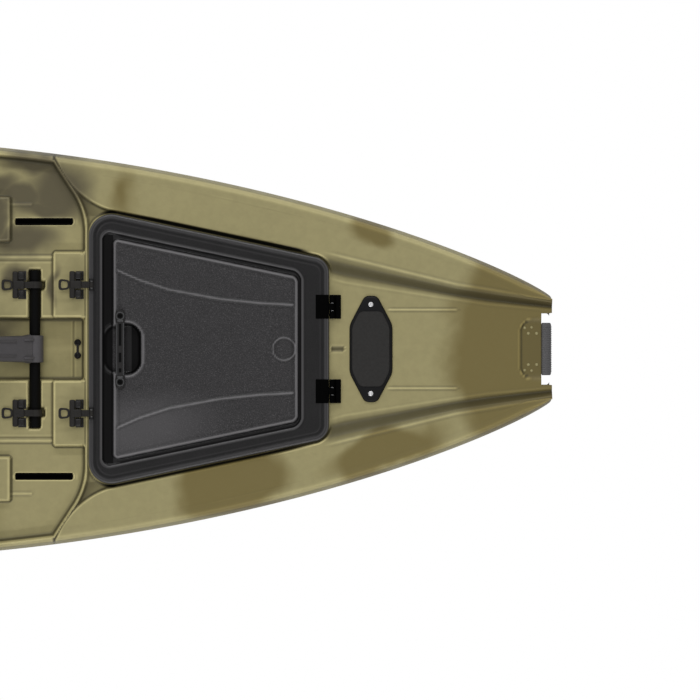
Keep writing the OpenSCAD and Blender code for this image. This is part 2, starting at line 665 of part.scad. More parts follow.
module arm_bushes() color([0.85, 0.84, 0.8]) in_drive() both_sides() translate([0,
    arm_w / 2 - bush_l / 2, 0])
    difference() {
        rod_y(bush_r, bush_l);
        rod_y(tube_r + run_gap, bush_l + 2);
    }
module gearbox() difference() {
    union() {
        rod_y(box_r, 2 * box_half);
        rod_y(bearing_r + 6, 2 * box_half + 12);
        translate([0, 0, neck_z - crank_h]) cylinder(r = neck_r + 4, h = 30);
    }
    rod_y(box_r - box_wall, 2 * box_half - 2 * box_wall);
    rod_y(bearing_r, 2 * box_half + 20);
    translate([0, 0, neck_z - crank_h - 1]) cylinder(r = shaft_bore, h = 60);
}
module box_side(side) color([0.14, 0.14, 0.15]) in_drive() translate([-arm_l, 0, crank_h])
    intersection() {
    gearbox();
    block([-100, side > 0 ? 0 : -100, -120], [100, side > 0 ? 100 : 0, 100]);
}
module gearbox_left() box_side(1);
module gearbox_right() box_side(-1);
module drive_leg() color([0.14, 0.14, 0.15]) in_drive() translate([-arm_l, 0, 0]) difference() {
    translate([0, 0, -leg_l]) linear_extrude(leg_l + neck_z) leg_shape();
    translate([0, 0, -leg_l - 1]) cylinder(r = shaft_bore, h = leg_l + neck_z + 2);
    translate([0, 0, -leg_l]) rod_x(case_r, 200);
}
nose_x = 30;
nose_l = 80;
tail_x = -100;
tail_r = 20;
module at_case() in_drive() translate([-arm_l, 0, -leg_l]) children();
module gearcase() color([0.14, 0.14, 0.15]) at_case() difference() {
    union() {
        rotate([0, 90, 0]) rotate_extrude() polygon(concat(
            [[0, tail_x], [tail_r, tail_x], [case_r, tail_x / 2]],
            [for (i = [0 : 9]) [case_r * cos(10 * i), nose_x + nose_l * sin(10 * i)]]));
        rotate([90, 0, 0]) translate([0, 0, -4]) linear_extrude(8)
            polygon([[-45, -20], [50, -20], [12, -80], [-28, -80]]);
    }
    cylinder(r = shaft_bore, h = 60);
    translate([0, 0, 3]) cylinder(r = 18, h = 14);
    translate([0, 0, 0]) rod_x(11, 30);
    translate([tail_x - 1, 0, 0]) rotate([0, 90, 0]) cylinder(r = 11, h = 1 - tail_x);
}
// Bevel gears: teeth are cut in from the pitch cones
big_r = 60;
pinion_r = 12;
big_y = big_r * pinion_r / big_r;
low_r = 16;
small_r = 8;
mesh_gap = 0.4;
module crank_gear() color([0.6, 0.6, 0.6]) in_drive() translate([-arm_l, 0, crank_h]) rotate([-90, 0,
    0]) difference() {
    rotate_extrude() polygon([[axle_r, 2], [14, 2], [14, 14], [big_r - 18, 14], [big_r - 18,
        8.4 + mesh_gap],
        [big_r, big_y + mesh_gap], [big_r, 22], [14, 22], [14, 28], [axle_r, 28]]);
    for (i = [0 : 39]) rotate([0, 0, 9 * i]) translate([big_r - 20, -1.6, 6]) cube([24, 3.2, 6.5]);
}
module upper_pinion() color([0.6, 0.6, 0.6]) in_drive() translate([-arm_l, 0, crank_h - big_r])
    difference() {
    cylinder(r1 = pinion_r - mesh_gap, r2 = 8.4 - mesh_gap, h = 18);
    translate([0, 0, -1]) cylinder(r = shaft_r, h = 20);
    for (i = [0 : 7]) rotate([0, 0, 45 * i]) translate([pinion_r - 2, -1.4, -1]) cube([4, 2.8, 12]);
}
module drive_shaft() color([0.7, 0.7, 0.7]) in_drive() translate([-arm_l, 0, -leg_l + 6])
    cylinder(r = shaft_r, h = leg_l + crank_h - big_r + 14);
module lower_gear() color([0.6, 0.6, 0.6]) at_case() difference() {
    rotate_extrude() polygon([[shaft_r, 5 + mesh_gap], [10, 5 + mesh_gap], [low_r, low_r / 2 + mesh_gap],
        [low_r, 15], [10, 15], [10, 22], [shaft_r, 22]]);
    for (i = [0 : 23]) rotate([0, 0, 15 * i]) translate([10.5, -0.9, 4]) cube([8, 1.8, 5.5]);
}
module prop_gear() color([0.6, 0.6, 0.6]) at_case() rotate([0, -90, 0]) difference() {
    union() {
        translate([0, 0, 9]) cylinder(r1 = 4.5 - mesh_gap + 0.6, r2 = small_r - mesh_gap, h = 7);
        translate([0, 0, 16]) cylinder(r = small_r - mesh_gap, h = 8);
    }
    cylinder(r = prop_shaft_r, h = 40);
    for (i = [0 : 11]) rotate([0, 0, 30 * i]) translate([small_r - 1.4, -0.7, 12]) cube([4, 1.4, 10]);
}
hub_x = -104;
hub_l = 40;
module prop_shaft() color([0.7, 0.7, 0.7]) at_case() rotate([0, -90, 0]) translate([0, 0, 9])
    cylinder(r = prop_shaft_r, h = -hub_x + hub_l - 1);
module prop_nut() color([0.7, 0.7, 0.7]) at_case() rotate([0, -90, 0]) translate([0, 0,
    -hub_x + hub_l]) difference() {
    cylinder(r = 9, h = 10, $fn = 6);
    translate([0, 0, -1]) cylinder(r = prop_shaft_r, h = 9);
}
module blade_slice(z, chord, t, pitch) translate([0, 0, z]) rotate([0, 0, pitch])
    translate([-t / 2, -chord / 2, 0]) cube([t, chord, 1]);
module propeller() color([0.1, 0.1, 0.1]) at_case() difference() {
    union() {
        translate([hub_x, 0, 0]) rotate([0, -90, 0]) cylinder(r = 18, h = hub_l);
        for (a = [0, 180]) translate([hub_x - hub_l / 2, 0, 0]) rotate([a, 0, 0]) {
            hull() {
                blade_slice(12, 34, 8, 48);
                blade_slice(prop_r * 0.6, 56, 5, 30);
            }
            hull() {
                blade_slice(prop_r * 0.6, 56, 5, 30);
                blade_slice(prop_r - 1, 26, 2.5, 20);
            }
        }
    }
    translate([hub_x + 1, 0, 0]) rotate([0, -90, 0]) cylinder(r = prop_shaft_r, h = hub_l + 2);
}
module ring_z(outer, inner, low, high) difference() {
    translate([0, 0, low]) cylinder(r = outer, h = high - low);
    translate([0, 0, low - 1]) cylinder(r = inner, h = high - low + 2);
}
module drive_bearings() color([0.75, 0.75, 0.78]) {
    in_drive() translate([-arm_l, 0, crank_h]) rotate([90, 0, 0]) for (s = [-1, 1])
        ring_z(bearing_r, axle_r + run_gap, s * (box_half - 1) - 5, s * (box_half - 1) + 5);
    in_drive() translate([-arm_l, 0, 0]) {
        ring_z(shaft_bore, shaft_r + run_gap, neck_z - 12, neck_z + 2);
        ring_z(shaft_bore, shaft_r + run_gap, -leg_l + 34, -leg_l + 46);
    }
    at_case() rotate([0, -90, 0]) ring_z(11, prop_shaft_r + run_gap, 40, 52);
}
module prop_seal() color([0.05, 0.05, 0.05]) at_case() rotate([0, -90, 0]) ring_z(11,
    prop_shaft_r + run_gap, 88, 98);
axle_half = box_half + 38;
module crank_axle() color([0.7, 0.7, 0.7]) in_drive() translate([-arm_l, 0, crank_h]) rod_y(axle_r,
    2 * axle_half);
arm_y = box_half + 20;
crank_t = 14;
spindle_r = 6;
pedal_half_x = 45;
pedal_w = 92;
module crank_arm(side) color([0.16, 0.16, 0.17]) in_drive() translate([-arm_l, 0, crank_h])
    mirror([0, side > 0 ? 0 : 1, 0]) translate([0, arm_y, 0]) rotate([side > 0 ? 180 : 0, 0, 0])
    mirror([0, side > 0 ? 1 : 0, 0]) difference() {
        union() {
            translate([0, crank_t / 2, 0]) rod_y(18, crank_t);
            translate([0, crank_t / 2, crank_r]) rod_y(14, crank_t);
            block([-12, 0, 0], [12, crank_t, crank_r]);
            translate([0, crank_t + (pedal_w + 8) / 2, crank_r]) rod_y(spindle_r, pedal_w + 8);
        }
        translate([0, crank_t / 2, 0]) rod_y(axle_r, crank_t + 4);
    }
module crank_arm_left() crank_arm(1);
module crank_arm_right() crank_arm(-1);
// The treads stay level, whatever the tilt
module pedal(side) color([0.1, 0.1, 0.1]) in_drive() translate([-arm_l,
    side * (arm_y + crank_t + 3 + pedal_w / 2),
    crank_h - side * crank_r]) rotate([0, -tilt, 0]) difference() {
        union() {
            block([-pedal_half_x, -pedal_w / 2, -9], [pedal_half_x, pedal_w / 2, 9]);
            rod_y(13, pedal_w);
        }
        rod_y(spindle_r + run_gap, pedal_w + 2);
        for (s = [-1, 1]) block([s > 0 ? 18 : -38, -pedal_w / 2 + 12, -20], [s > 0 ? 38 : -18,
            pedal_w / 2 - 12, 20]);
    }
module pedal_left() pedal(1);
module pedal_right() pedal(-1);

// Framed seat on two rails
rail_x0 = -868;
rail_x1 = -392;
rail_w = 24;
rail_h = 12;
pan_z = 400;
seat_tube_r = 12;
cross_tube_r = 10;
module seat_rails() color([0.7, 0.7, 0.72]) both_sides() difference() {
    block([rail_x0, rail_y - rail_w / 2, tray_z], [rail_x1, rail_y + rail_w / 2, tray_z + rail_h]);
    block([rail_x0 - 1, rail_y - rail_w / 2 + 3, tray_z + 3], [rail_x1 + 1, rail_y + rail_w / 2 - 3,
        tray_z + rail_h + 1]);
}
foot_l = 40;
lug_half = 16;
lug_w = 22;
seat_pin_r = 5;
module seat_frame() color([0.25, 0.25, 0.26]) difference() {
    union() {
        for (x = [seat_x, seat_x + seat_l]) translate([x, 0, pan_z]) rod_y(cross_tube_r, 2 * rail_y);
        both_sides() translate([seat_x + seat_l / 2, rail_y, pan_z]) rod_x(seat_tube_r,
            seat_l + 2 * seat_tube_r);
        both_sides() for (x = [seat_x + 20, seat_x + seat_l - 20]) translate([x, rail_y,
            tray_z + 3 + gap]) {
            cylinder(r = 8, h = pan_z - tray_z);
            translate([-foot_l / 2, -8, 0]) cube([foot_l, 16, 20]);
        }
        both_sides() block([seat_x - lug_half, rail_y - 12, pan_z - lug_half], [seat_x + lug_half,
            rail_y + 12,
            pan_z + lug_half]);
    }
    both_sides() translate([seat_x, rail_y, pan_z]) rod_y(seat_pin_r, 50);
}
// A pad with a crown and drawn in sides: u and v run from -1 to 1 over its face
pad_steps = 12;
function pad_grid(half_u, half_v, edge, crown) = [for (i = [0 : pad_steps], j = [0 : pad_steps])
    let (u = -1 + 2 * i / pad_steps, v = -1 + 2 * j / pad_steps,
         draw_u = 1 - 0.03 * (1 - v * v), draw_v = 1 - 0.03 * (1 - u * u))
    [u * half_u * draw_u, v * half_v * draw_v, edge + crown * sqrt((1 - pow(u, 4)) * (1 - pow(v, 4)))]];
module pad(half_u, half_v, edge, crown) {
    n = pad_steps + 1;
    top = pad_grid(half_u, half_v, edge, crown);
    rim = concat([for (i = [0 : pad_steps - 1]) i * n], [for (j = [0 : pad_steps - 1]) pad_steps * n + j],
        [for (i = [pad_steps : -1 : 1]) i * n + pad_steps], [for (j = [pad_steps : -1 : 1]) j]);
    m = len(rim);
    polyhedron(points = concat(top, [for (r = rim) [top[r][0], top[r][1], 0]]), faces = concat(
        [for (i = [0 : pad_steps - 1], j = [0 : pad_steps - 1], k = [0, 1]) let (a = i * n + j)
            k == 0 ? [a, a + 1, a + n + 1] : [a, a + n + 1, a + n]],
        [for (k = [0 : m - 1], h = [0, 1]) let (l = (k + 1) % m)
            h == 0 ? [rim[k], rim[l], l + n * n] : [rim[k], l + n * n, k + n * n]],
        [[for (k = [0 : m - 1]) k + n * n]]), convexity = 4);
}
module seat_cushion() color([0.16, 0.16, 0.17])
    translate([seat_x + seat_l / 2 + 14, 0, pan_z + cross_tube_r + gap]) pad(seat_l / 2 - 6,
        rail_y - 18, 14, 16);
module in_back() translate([seat_x, 0, pan_z]) rotate([0, -recline, 0]) children();
back_y = rail_y + 22;
back_tube_r = 9;
module backrest_frame() color([0.25, 0.25, 0.26]) in_back() difference() {
    union() {
        both_sides() {
            translate([0, back_y, 0]) cylinder(r = back_tube_r, h = back_l);
            translate([0, back_y + 1, 0]) rod_y(14, 10);
        }
        for (h = [150, back_l]) translate([0, 0, h]) rod_y(back_tube_r, 2 * back_y);
        both_sides() translate([0, back_y, back_l]) sphere(r = back_tube_r);
    }
    both_sides() translate([0, back_y, 0]) rod_y(seat_pin_r + run_gap, 40);
}
module backrest_cushion() color([0.16, 0.16, 0.17]) in_back()
    translate([back_tube_r + gap, 0, (back_l + 130) / 2]) rotate([0, 90, 0]) pad((back_l - 130)
        / 2 - 2, back_y - 22, 14, 18);
module seat_hinge_pins() color([0.7, 0.7, 0.7]) both_sides() translate([seat_x, rail_y + 10, pan_z])
    rod_y(seat_pin_r, 40);

// Rudder: it turns on an upright pintle and folds forward over the stern deck
pintle_x = stern_x + 5;
pintle_r = 6;
recess_half = 40;
recess_d = 30;
bracket_low = 200;
bracket_high = 300;
module rudder_recess() block([stern_x - 10, -recess_half, -10], [stern_x + recess_d, recess_half,
    gunwale_z + 100]);
module rudder_bracket() color([0.7, 0.7, 0.72]) difference() {
    union() {
        block([stern_x + recess_d - 6, -30, bracket_low - 30], [stern_x + recess_d, 30,
            bracket_high + 40]);
        for (z = [bracket_low, bracket_high]) {
            block([pintle_x, -12, z], [stern_x + recess_d - 5, 12, z + 10]);
            translate([pintle_x, 0, z]) cylinder(r = 12, h = 10);
        }
    }
    translate([pintle_x, 0, 0]) cylinder(r = pintle_r, h = 600);
}
module rudder_pins() color([0.7, 0.7, 0.7]) translate([pintle_x, 0, 0]) {
    translate([0, 0, bracket_low - 6]) cylinder(r = pintle_r, h = bracket_high - bracket_low + 20);
    translate([0, 0, bracket_high + 10]) cylinder(r = 9, h = 4);
}
head_x0 = stern_x - rudder_reach;
head_x1 = pintle_x - 18;
blade_pin_x = stern_x - 24;
blade_pin_z = 395;
cheek_in = 5.3;
cheek_out = 12;
module rudder_head() color([0.12, 0.12, 0.12]) union() {
    difference() {
        union() {
            translate([pintle_x, 0, bracket_low + 10 + gap]) cylinder(r = 12,
                h = bracket_high - bracket_low - 10 - 2 * gap);
            block([head_x0, -cheek_out, bracket_low + 15], [pintle_x, cheek_out, bracket_high - 6]);
            block([head_x0, -cheek_out, bracket_low + 15], [head_x1, cheek_out, blade_pin_z + 14]);
        }
        translate([pintle_x, 0, 0]) cylinder(r = pintle_r + run_gap, h = 600);
        block([head_x0 - 1, -cheek_in, bracket_low], [head_x1 + 4.5, cheek_in, blade_pin_z + 20]);
    }
    translate([blade_pin_x, 0, blade_pin_z]) rod_y(5, 2 * cheek_in + 4);
}
blade_t = 8;
neck_l = 312;
module rudder_blade() color([0.14, 0.14, 0.15]) translate([blade_pin_x, 0, blade_pin_z]) difference() {
    union() {
        rod_y(12, blade_t);
        rotate([90, 0, 0]) translate([0, 0, -blade_t / 2]) linear_extrude(blade_t)
            polygon([[0, -12], [neck_l, -16], [blade_l - 30, -20], [blade_l, blade_h - 60],
                [blade_l - 10, blade_h - 22],
                [neck_l + 30, blade_h - 20], [neck_l, 12], [0, 12]]);
    }
    rod_y(5 + run_gap, 40);
}

hull_shell();
deck_shell();
bow_foam();
stern_foam();
hatch_gasket();
hatch_lid();
lid_handle();
lid_handle_screws();
lid_hinge_leaves();
lid_hinge_pins();
lid_latch_pins();
lid_latch_left();
lid_latch_right();
drive_latch_left();
drive_latch_right();
latch_keepers();
accessory_plate();
plate_pad();
plate_screws();
bow_handle();
deck_eyelet();
gear_tracks();
side_handles();
handle_bolts();
rod_holders();
drain_plug();
drive_tube();
drive_arm();
arm_bushes();
gearbox_left();
gearbox_right();
drive_leg();
gearcase();
drive_bearings();
prop_seal();
crank_axle();
crank_gear();
crank_arm_left();
crank_arm_right();
pedal_left();
pedal_right();
drive_shaft();
upper_pinion();
lower_gear();
prop_shaft();
prop_gear();
propeller();
prop_nut();
seat_rails();
seat_frame();
seat_cushion();
backrest_frame();
backrest_cushion();
seat_hinge_pins();
rudder_bracket();
rudder_head();
rudder_blade();
rudder_pins();
lever_base();
steering_lever();
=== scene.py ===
"""Pedal kayak: the moulded skins, lid, fittings, drive, seat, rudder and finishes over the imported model."""

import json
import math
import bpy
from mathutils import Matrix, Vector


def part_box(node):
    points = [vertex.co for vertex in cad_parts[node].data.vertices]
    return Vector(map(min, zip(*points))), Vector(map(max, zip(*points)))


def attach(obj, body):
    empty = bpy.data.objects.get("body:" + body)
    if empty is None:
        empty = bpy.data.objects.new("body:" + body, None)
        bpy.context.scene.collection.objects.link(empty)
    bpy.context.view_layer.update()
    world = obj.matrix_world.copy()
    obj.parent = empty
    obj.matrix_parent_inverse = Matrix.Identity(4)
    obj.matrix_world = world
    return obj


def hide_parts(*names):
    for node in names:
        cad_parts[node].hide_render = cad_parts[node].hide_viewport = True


bl_info = {
    "name": "Pedal Kayak Builder",
    "version": (1, 0, 0),
    "blender": (4, 5, 0),
    "location": "View3D > Sidebar > Kayak",
    "description": "Builds the looks of a pedal kayak piece by piece",
    "category": "Add Mesh",
}

import bmesh
import bpy
import numpy as np
from mathutils import Matrix, Vector, noise

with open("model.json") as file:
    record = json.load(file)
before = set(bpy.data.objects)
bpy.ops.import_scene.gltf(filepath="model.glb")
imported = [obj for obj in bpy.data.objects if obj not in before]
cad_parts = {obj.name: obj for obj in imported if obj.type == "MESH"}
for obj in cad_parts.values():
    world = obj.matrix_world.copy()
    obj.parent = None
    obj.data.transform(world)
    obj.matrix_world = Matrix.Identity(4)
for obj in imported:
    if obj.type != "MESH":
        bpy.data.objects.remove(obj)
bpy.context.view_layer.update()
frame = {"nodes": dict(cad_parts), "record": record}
NODES = frame["nodes"]
MM = 0.001

# The hull's form, in millimetres
BOW_X = 1600.0
STERN_X = -1560.0
BEAM_X = -37.0
HALF_BEAM = 465.0
BOW_HALF = 114.0
STERN_HALF = 150.0
DECK_ROUND = 9.0
RIM = 22.0
NOTCH_X = 1577.0
NOTCH_TOP = 303.0
HORN_INNER = 78.5
TRANSOM_X = -1530.0
TRANSOM_HALF = 40.0

# The deck's levels and edges, in millimetres, and the slope of the foredeck's panel
DECK_Z = 350.0
TRAY_Z = 330.0
CHANNEL_Z = 285.0
FLOOR_Z = 90.0
TANK_Z = 230.0
TANK_X = (-1400.0, -1010.0)
CHANNEL_HALF = 67.5
FOOTWELL_HALF = 215.0
COCKPIT_AFT_X = -880.0
CONSOLE_X = 330.0
CONSOLE_START = CONSOLE_X - 30
CREASE_X = 511.0
RISER_X = 578.0
RISER_HALF = 305.0
SLOT = (-355.0, 75.0, 50.0)
PANEL_RISE = 0.06

# The hatch lid, in millimetres, and the lean of its sides in radians
LID_X = (591.0, 1115.0)
LID_HALF = (306.0, 195.0)
LID_ROUND = (50.0, 37.0)
LID_SLOPE = (LID_HALF[0] - LID_HALF[1]) / (LID_X[1] - LID_X[0])
LID_LEAN = math.atan(LID_SLOPE)
LID_TOP = 366.0
LID_UNDER = 357.6
LID_FLAT = 26.0
LID_PANEL_X = (643.0, 1050.0)
LID_PANEL_HALF = 244.0
LID_PANEL_SLOPE = 0.2075
LID_PANEL_LEAN = 0.979
DIMPLE_X = 1017.0
POCKET_Z = 349.0
CUP = (622.0, 712.0, 62.0)
CUP_Z = 346.0

# Places of the fittings, in millimetres, and the drive's tilt in degrees
HINGE_X = 1122.0
HINGE_Y = 92.0
HINGE_Z = 362.0
LATCH_Y = 140.0
LATCH_PIN_X = 598.0
LATCH_PIN_Z = 371.0
TRACK_X = (430.0, 555.0)
TRACK_Y = 278.5
PLATE_X = 1206.5
EYELET_X = 564.0
HANDLE_X = -640.0
HANDLE_HALF = 60.0
HANDLE_Z = 285.0
HOLDER_X = -945.0
HOLDER_Y = 250.0
HOLDER_HOLE = 26.0
PLUG_Y = 90.0
PLUG_Z = 190.0
PIVOT = (472.0, 318.0)
DRIVE_TILT = 40.0
CRANK_X = -450.0
CRANK_Z = 160.0
CRANK_LENGTH = 130.0
SCREW_Z = -482.0
BLADE_PIVOT = (STERN_X - 24, 395.0)
LEVER_X = -200.0
LEVER_Y = 375.0
GRIP_HALF = 57.0
GRIP_RIB = 4.8


# Forms of the hull and deck. x runs forward, and ay is the distance from the middle line.
def plan_half(x):
    """Half beam at x."""
    x = np.asarray(x, float)
    fore = x > BEAM_X
    reach = np.where(fore, BOW_X - BEAM_X, BEAM_X - STERN_X)
    tip = np.where(fore, BOW_HALF, STERN_HALF)
    u = np.clip(np.abs(x - BEAM_X) / reach, 0, 1)
    return tip + (HALF_BEAM - tip) * np.maximum(1 - u**1.95, 0) ** 0.852


def rounded_half(x):
    """Half beam at x, with the bow's last 4 mm rounded."""
    past = max(0, x - BOW_X + 4) / 4
    return float(plan_half(x)) - 3 * (1 - math.sqrt(max(0, 1 - past**2)))


def keel_z(x):
    fore = 200 * (max(x - 900, 0) / 700) ** 2.2
    aft = 110 * (max(-x - 900, 0) / 660) ** 2
    return fore + aft


def seam_at(x):
    x = np.asarray(x, float)
    return 235 + np.where(x > 0, 70.0, 25.0) * (np.abs(x) / BOW_X) ** 2


def gunwale_at(x):
    x = np.asarray(x, float)
    return 352 + np.where(x > 0, 50.0, 16.0) * (np.abs(x) / BOW_X) ** 2.5


def panel_lines(x):
    """Inner and outer edge of the slope beside the foredeck's middle panel."""
    inner = np.interp(x, [1000, 1148, 1217, 1357, 1461, 1600], [186, 146, 135, 113, 98, 86])
    outer = np.interp(x, [1000, 1113, 1392, 1461, 1600], [235, 207, 139.5, 128.6, 105])
    return inner, outer


def panel_z(x):
    return DECK_Z + np.maximum(0, np.asarray(x, float) - 1135) * PANEL_RISE


def smooth(t):
    t = np.clip(t, 0, 1)
    return t * t * (3 - 2 * t)


def wall(d, w):
    """A rounded step: 0 well outside an edge, 1 well inside it."""
    return smooth(0.5 + d / w)


def hump(d, w):
    """A soft bead of half width w along the line where d is 0."""
    return np.exp(-((d / w) ** 2))


def ramp(t, k=0.12):
    """A straight slope with softened ends."""
    return (np.clip(t - k, 0, 1) + np.clip(t, 0, 1) + np.clip(t + k, 0, 1)) / 3


def round_corner(dx, dy, r):
    """Distance inside a corner from the distances inside its two sides."""
    corner = r - np.hypot(np.maximum(r - dx, 0), np.maximum(r - dy, 0))
    return np.where((dx < r) & (dy < r), corner, np.minimum(dx, dy))


def inside_box(x, y, x0, x1, y0, y1, r):
    """Distance inside a rectangle with rounded corners."""
    return round_corner(np.minimum(x - x0, x1 - x), np.minimum(y - y0, y1 - y), r)


def inside_lid(x, ay):
    """Distance inside the lid's outline, a trapezium with rounded corners."""
    side = (LID_HALF[0] - LID_SLOPE * (x - LID_X[0]) - ay) * math.cos(LID_LEAN)
    d = np.minimum(np.minimum(x - LID_X[0], LID_X[1] - x), side)
    limit = math.pi / 2 - LID_LEAN
    for i, way in ((0, -1), (1, 1)):
        r = LID_ROUND[i]
        cx = LID_X[i] - way * r
        cy = LID_HALF[i] + way * r * LID_SLOPE - r / math.cos(LID_LEAN)
        angle = np.arctan2(ay - cy, (x - cx) + 1e-9)
        near = (angle >= limit) if way < 0 else ((angle >= 0) & (angle <= limit))
        d = np.where(near & (ay > cy), r - np.hypot(x - cx, ay - cy), d)
    return d


def lid_outline(inset, steps=14):
    """Closed outline of the lid, drawn in by inset."""
    x0, x1 = LID_X[0] + inset, LID_X[1] - inset
    ra, rf = (max(4, r - inset) for r in LID_ROUND)
    in_y = inset / math.cos(LID_LEAN)
    ya = LID_HALF[0] - in_y - inset * LID_SLOPE - ra * LID_SLOPE - ra / math.cos(LID_LEAN)
    yf = LID_HALF[1] - in_y + inset * LID_SLOPE + rf * LID_SLOPE - rf / math.cos(LID_LEAN)
    a1 = math.pi / 2 - LID_LEAN
    turn = [math.pi - (math.pi - a1) * i / steps for i in range(steps + 1)]
    pts = [(x0 + ra + ra * math.cos(a), ya + ra * math.sin(a)) for a in turn]
    (xa, y_a), xb, yb = pts[-1], x1 - rf + rf * math.cos(a1), yf + rf * math.sin(a1)
    pts += [(xa + (xb - xa) * k / 30, y_a + (yb - y_a) * k / 30) for k in range(1, 30)]
    turn = [a1 * (1 - i / steps) for i in range(steps + 1)]
    pts += [(x1 - rf + rf * math.cos(a), yf + rf * math.sin(a)) for a in turn]
    return pts + [(x, -y) for x, y in pts[::-1]]


def tray_depth(x, ay):
    """Distance inside the cockpit's side trays and console, from the rim and the crease ahead."""
    half = plan_half(x)
    corner = float(plan_half(CREASE_X)) - RIM
    run, rise = RISER_X - CREASE_X, corner - RISER_HALF
    slant = (CREASE_X + run * (corner - ay) / rise - x) * rise / math.hypot(run, rise)
    riser = RISER_X + 3 - x
    k = 26.0
    join = np.maximum(k - np.abs(slant - riser), 0) / k
    crease = np.minimum(slant, riser) - join**2 * k / 4
    rim = np.where(x < CREASE_X + 20, half - RIM - ay, 60.0)
    return np.minimum(np.minimum(rim, x - COCKPIT_AFT_X), crease + 2)


def gutter_depth(x, ay):
    """Distance inside the hollow that runs from the lid's aft corner out to the rim."""
    arc = np.hypot(x - 695, ay - 482) - 186
    ends = np.minimum(x - CREASE_X, np.minimum(652 - x, -inside_lid(x, ay)))
    return np.minimum(np.minimum(arc, -tray_depth(x, ay) - 3), ends)


def lid_gap(x, ay):
    """Share of the narrow gap beside the lid, which closes toward the bow."""
    along = smooth((x - 606) / 34) * (1 - smooth((x - 1010) / 90))
    return hump(inside_lid(x, ay) + 4.0, 3.5) * along


def bow_recess(x, ay):
    """Distance inside the seat of the bow handle."""
    return inside_box(x, ay, NOTCH_X - 45, NOTCH_X + 60, -99, 64, 26)


def key_groove(x, ay):
    """Distance inside the short groove between the hinges and the plate."""
    return inside_box(x, ay, 1119, 1149, -50, 3.6, 3)


def deck_shade(x, ay, port):
    """How much painted shade lies on the deck: 1 in slopes and gutter, 2 and more for the painted black
    shadow in the gap beside the lid.
    """
    inner, outer = panel_lines(x)
    w = outer - inner
    outside = -inside_lid(x, ay)
    clear = wall(outside - 1, 3) * smooth((x - 1096) / 22)
    band = smooth((outer - ay) / (0.3 * w)) * smooth((ay - inner) / (0.36 * w)) * clear
    behind = np.maximum(-tray_depth(x, ay) - 5, 0)
    low = wall(gutter_depth(x, ay) - 2, 6) * (0.5 + 0.5 * hump(behind, 24) * (ay > 290))
    # Painted shade in the bow recess and in the key groove.
    recess = 0.38 * wall(bow_recess(x, ay), 4) * (x < NOTCH_X + 1)
    key = 0.9 * wall(key_groove(x, ay), 3)
    # A wider painted shadow along the port side of the lid.
    along = smooth((x - 630) / 150) * (1 - smooth((x - 1040) / 44))
    wide = hump(7.5 - outside, 3.4) * along * port
    return np.maximum(np.maximum(band, low), np.maximum(key, recess)) + 2 * (lid_gap(x, ay) + wide)


def deck_height(x, ay):
    """Height of the deck."""
    half, g, zp = plan_half(x), gunwale_at(x), panel_z(x)
    inner, outer = panel_lines(x)
    d = (half - ay) / np.clip((half - outer) / 36, 0.25, 1)
    # foredeck: middle panel, slopes and rim
    drop = 1 + 17 * smooth((x - 960) / 150)
    w = outer - inner
    z = zp + drop * wall(-inside_lid(x, ay) - 4, 4) * smooth((ay - inner - 0.22 * w) / (0.6 * w))
    lips = 2.0 * hump(ay - outer - 1, 4.2) + 0.9 * hump(ay - inner + 1, 3.6)
    z = z + lips * smooth((x - 1090) / 60)
    z = z + (g - 2 - zp - drop) * ramp((ay - outer) / np.maximum(half - 36 - outer, 8)) * (ay > outer)
    z = np.where(d < 36, g - 2 + 2 * smooth((36 - d) / 16), z)
    z = np.where(d < 20, g - 12 * np.clip((20 - d) / 11, 0, 1.2) ** 2.2, z)
    stern = x < COCKPIT_AFT_X
    flat = DECK_Z + (g - 2 - DECK_Z) * smooth((ay - half + 60) / 30)
    z = np.where(stern & (d > 36), flat, z)
    # side trays, footwell and console
    z = z - 9 * wall(gutter_depth(x, ay) - 3, 7) - 8 * lid_gap(x, ay)
    z = z + (TRAY_Z - z) * wall(tray_depth(x, ay), 8)
    foot = inside_box(x, ay, COCKPIT_AFT_X + 30, CONSOLE_X, -400, FOOTWELL_HALF, 30)
    ribs = 1.6 * wall(np.abs(((ay + 14) % 28) - 14) - 7, 5) * wall(foot - 30, 10) * (x < SLOT[1])
    z = z + (FLOOR_Z + ribs - z) * wall(foot - 8, 20)
    coaming = inside_box(x, ay, SLOT[0] - 6, SLOT[1] + 6, -99, SLOT[2] + 6, 8)
    z = z + (FLOOR_Z + 20 - z) * wall(coaming, 3)
    z = console_steps(x, ay, z)
    # tank well
    tank = np.where(stern, inside_box(x, ay, *TANK_X, -400, half - 75, 40), -50)
    floor = TANK_Z + 2.5 * wall(np.abs(((ay + 20) % 40) - 20) - 8, 6) * wall(tank - 25, 8)
    z = z + (floor - z) * wall(tank - 5, 14)
    # recess for the bow handle
    bow = bow_recess(x, ay)
    z = z + 0.6 * hump(bow + 3, 2.6) * (x < NOTCH_X - 2)
    return z + (panel_z(NOTCH_X) - 6.5 - z) * wall(bow, 3)


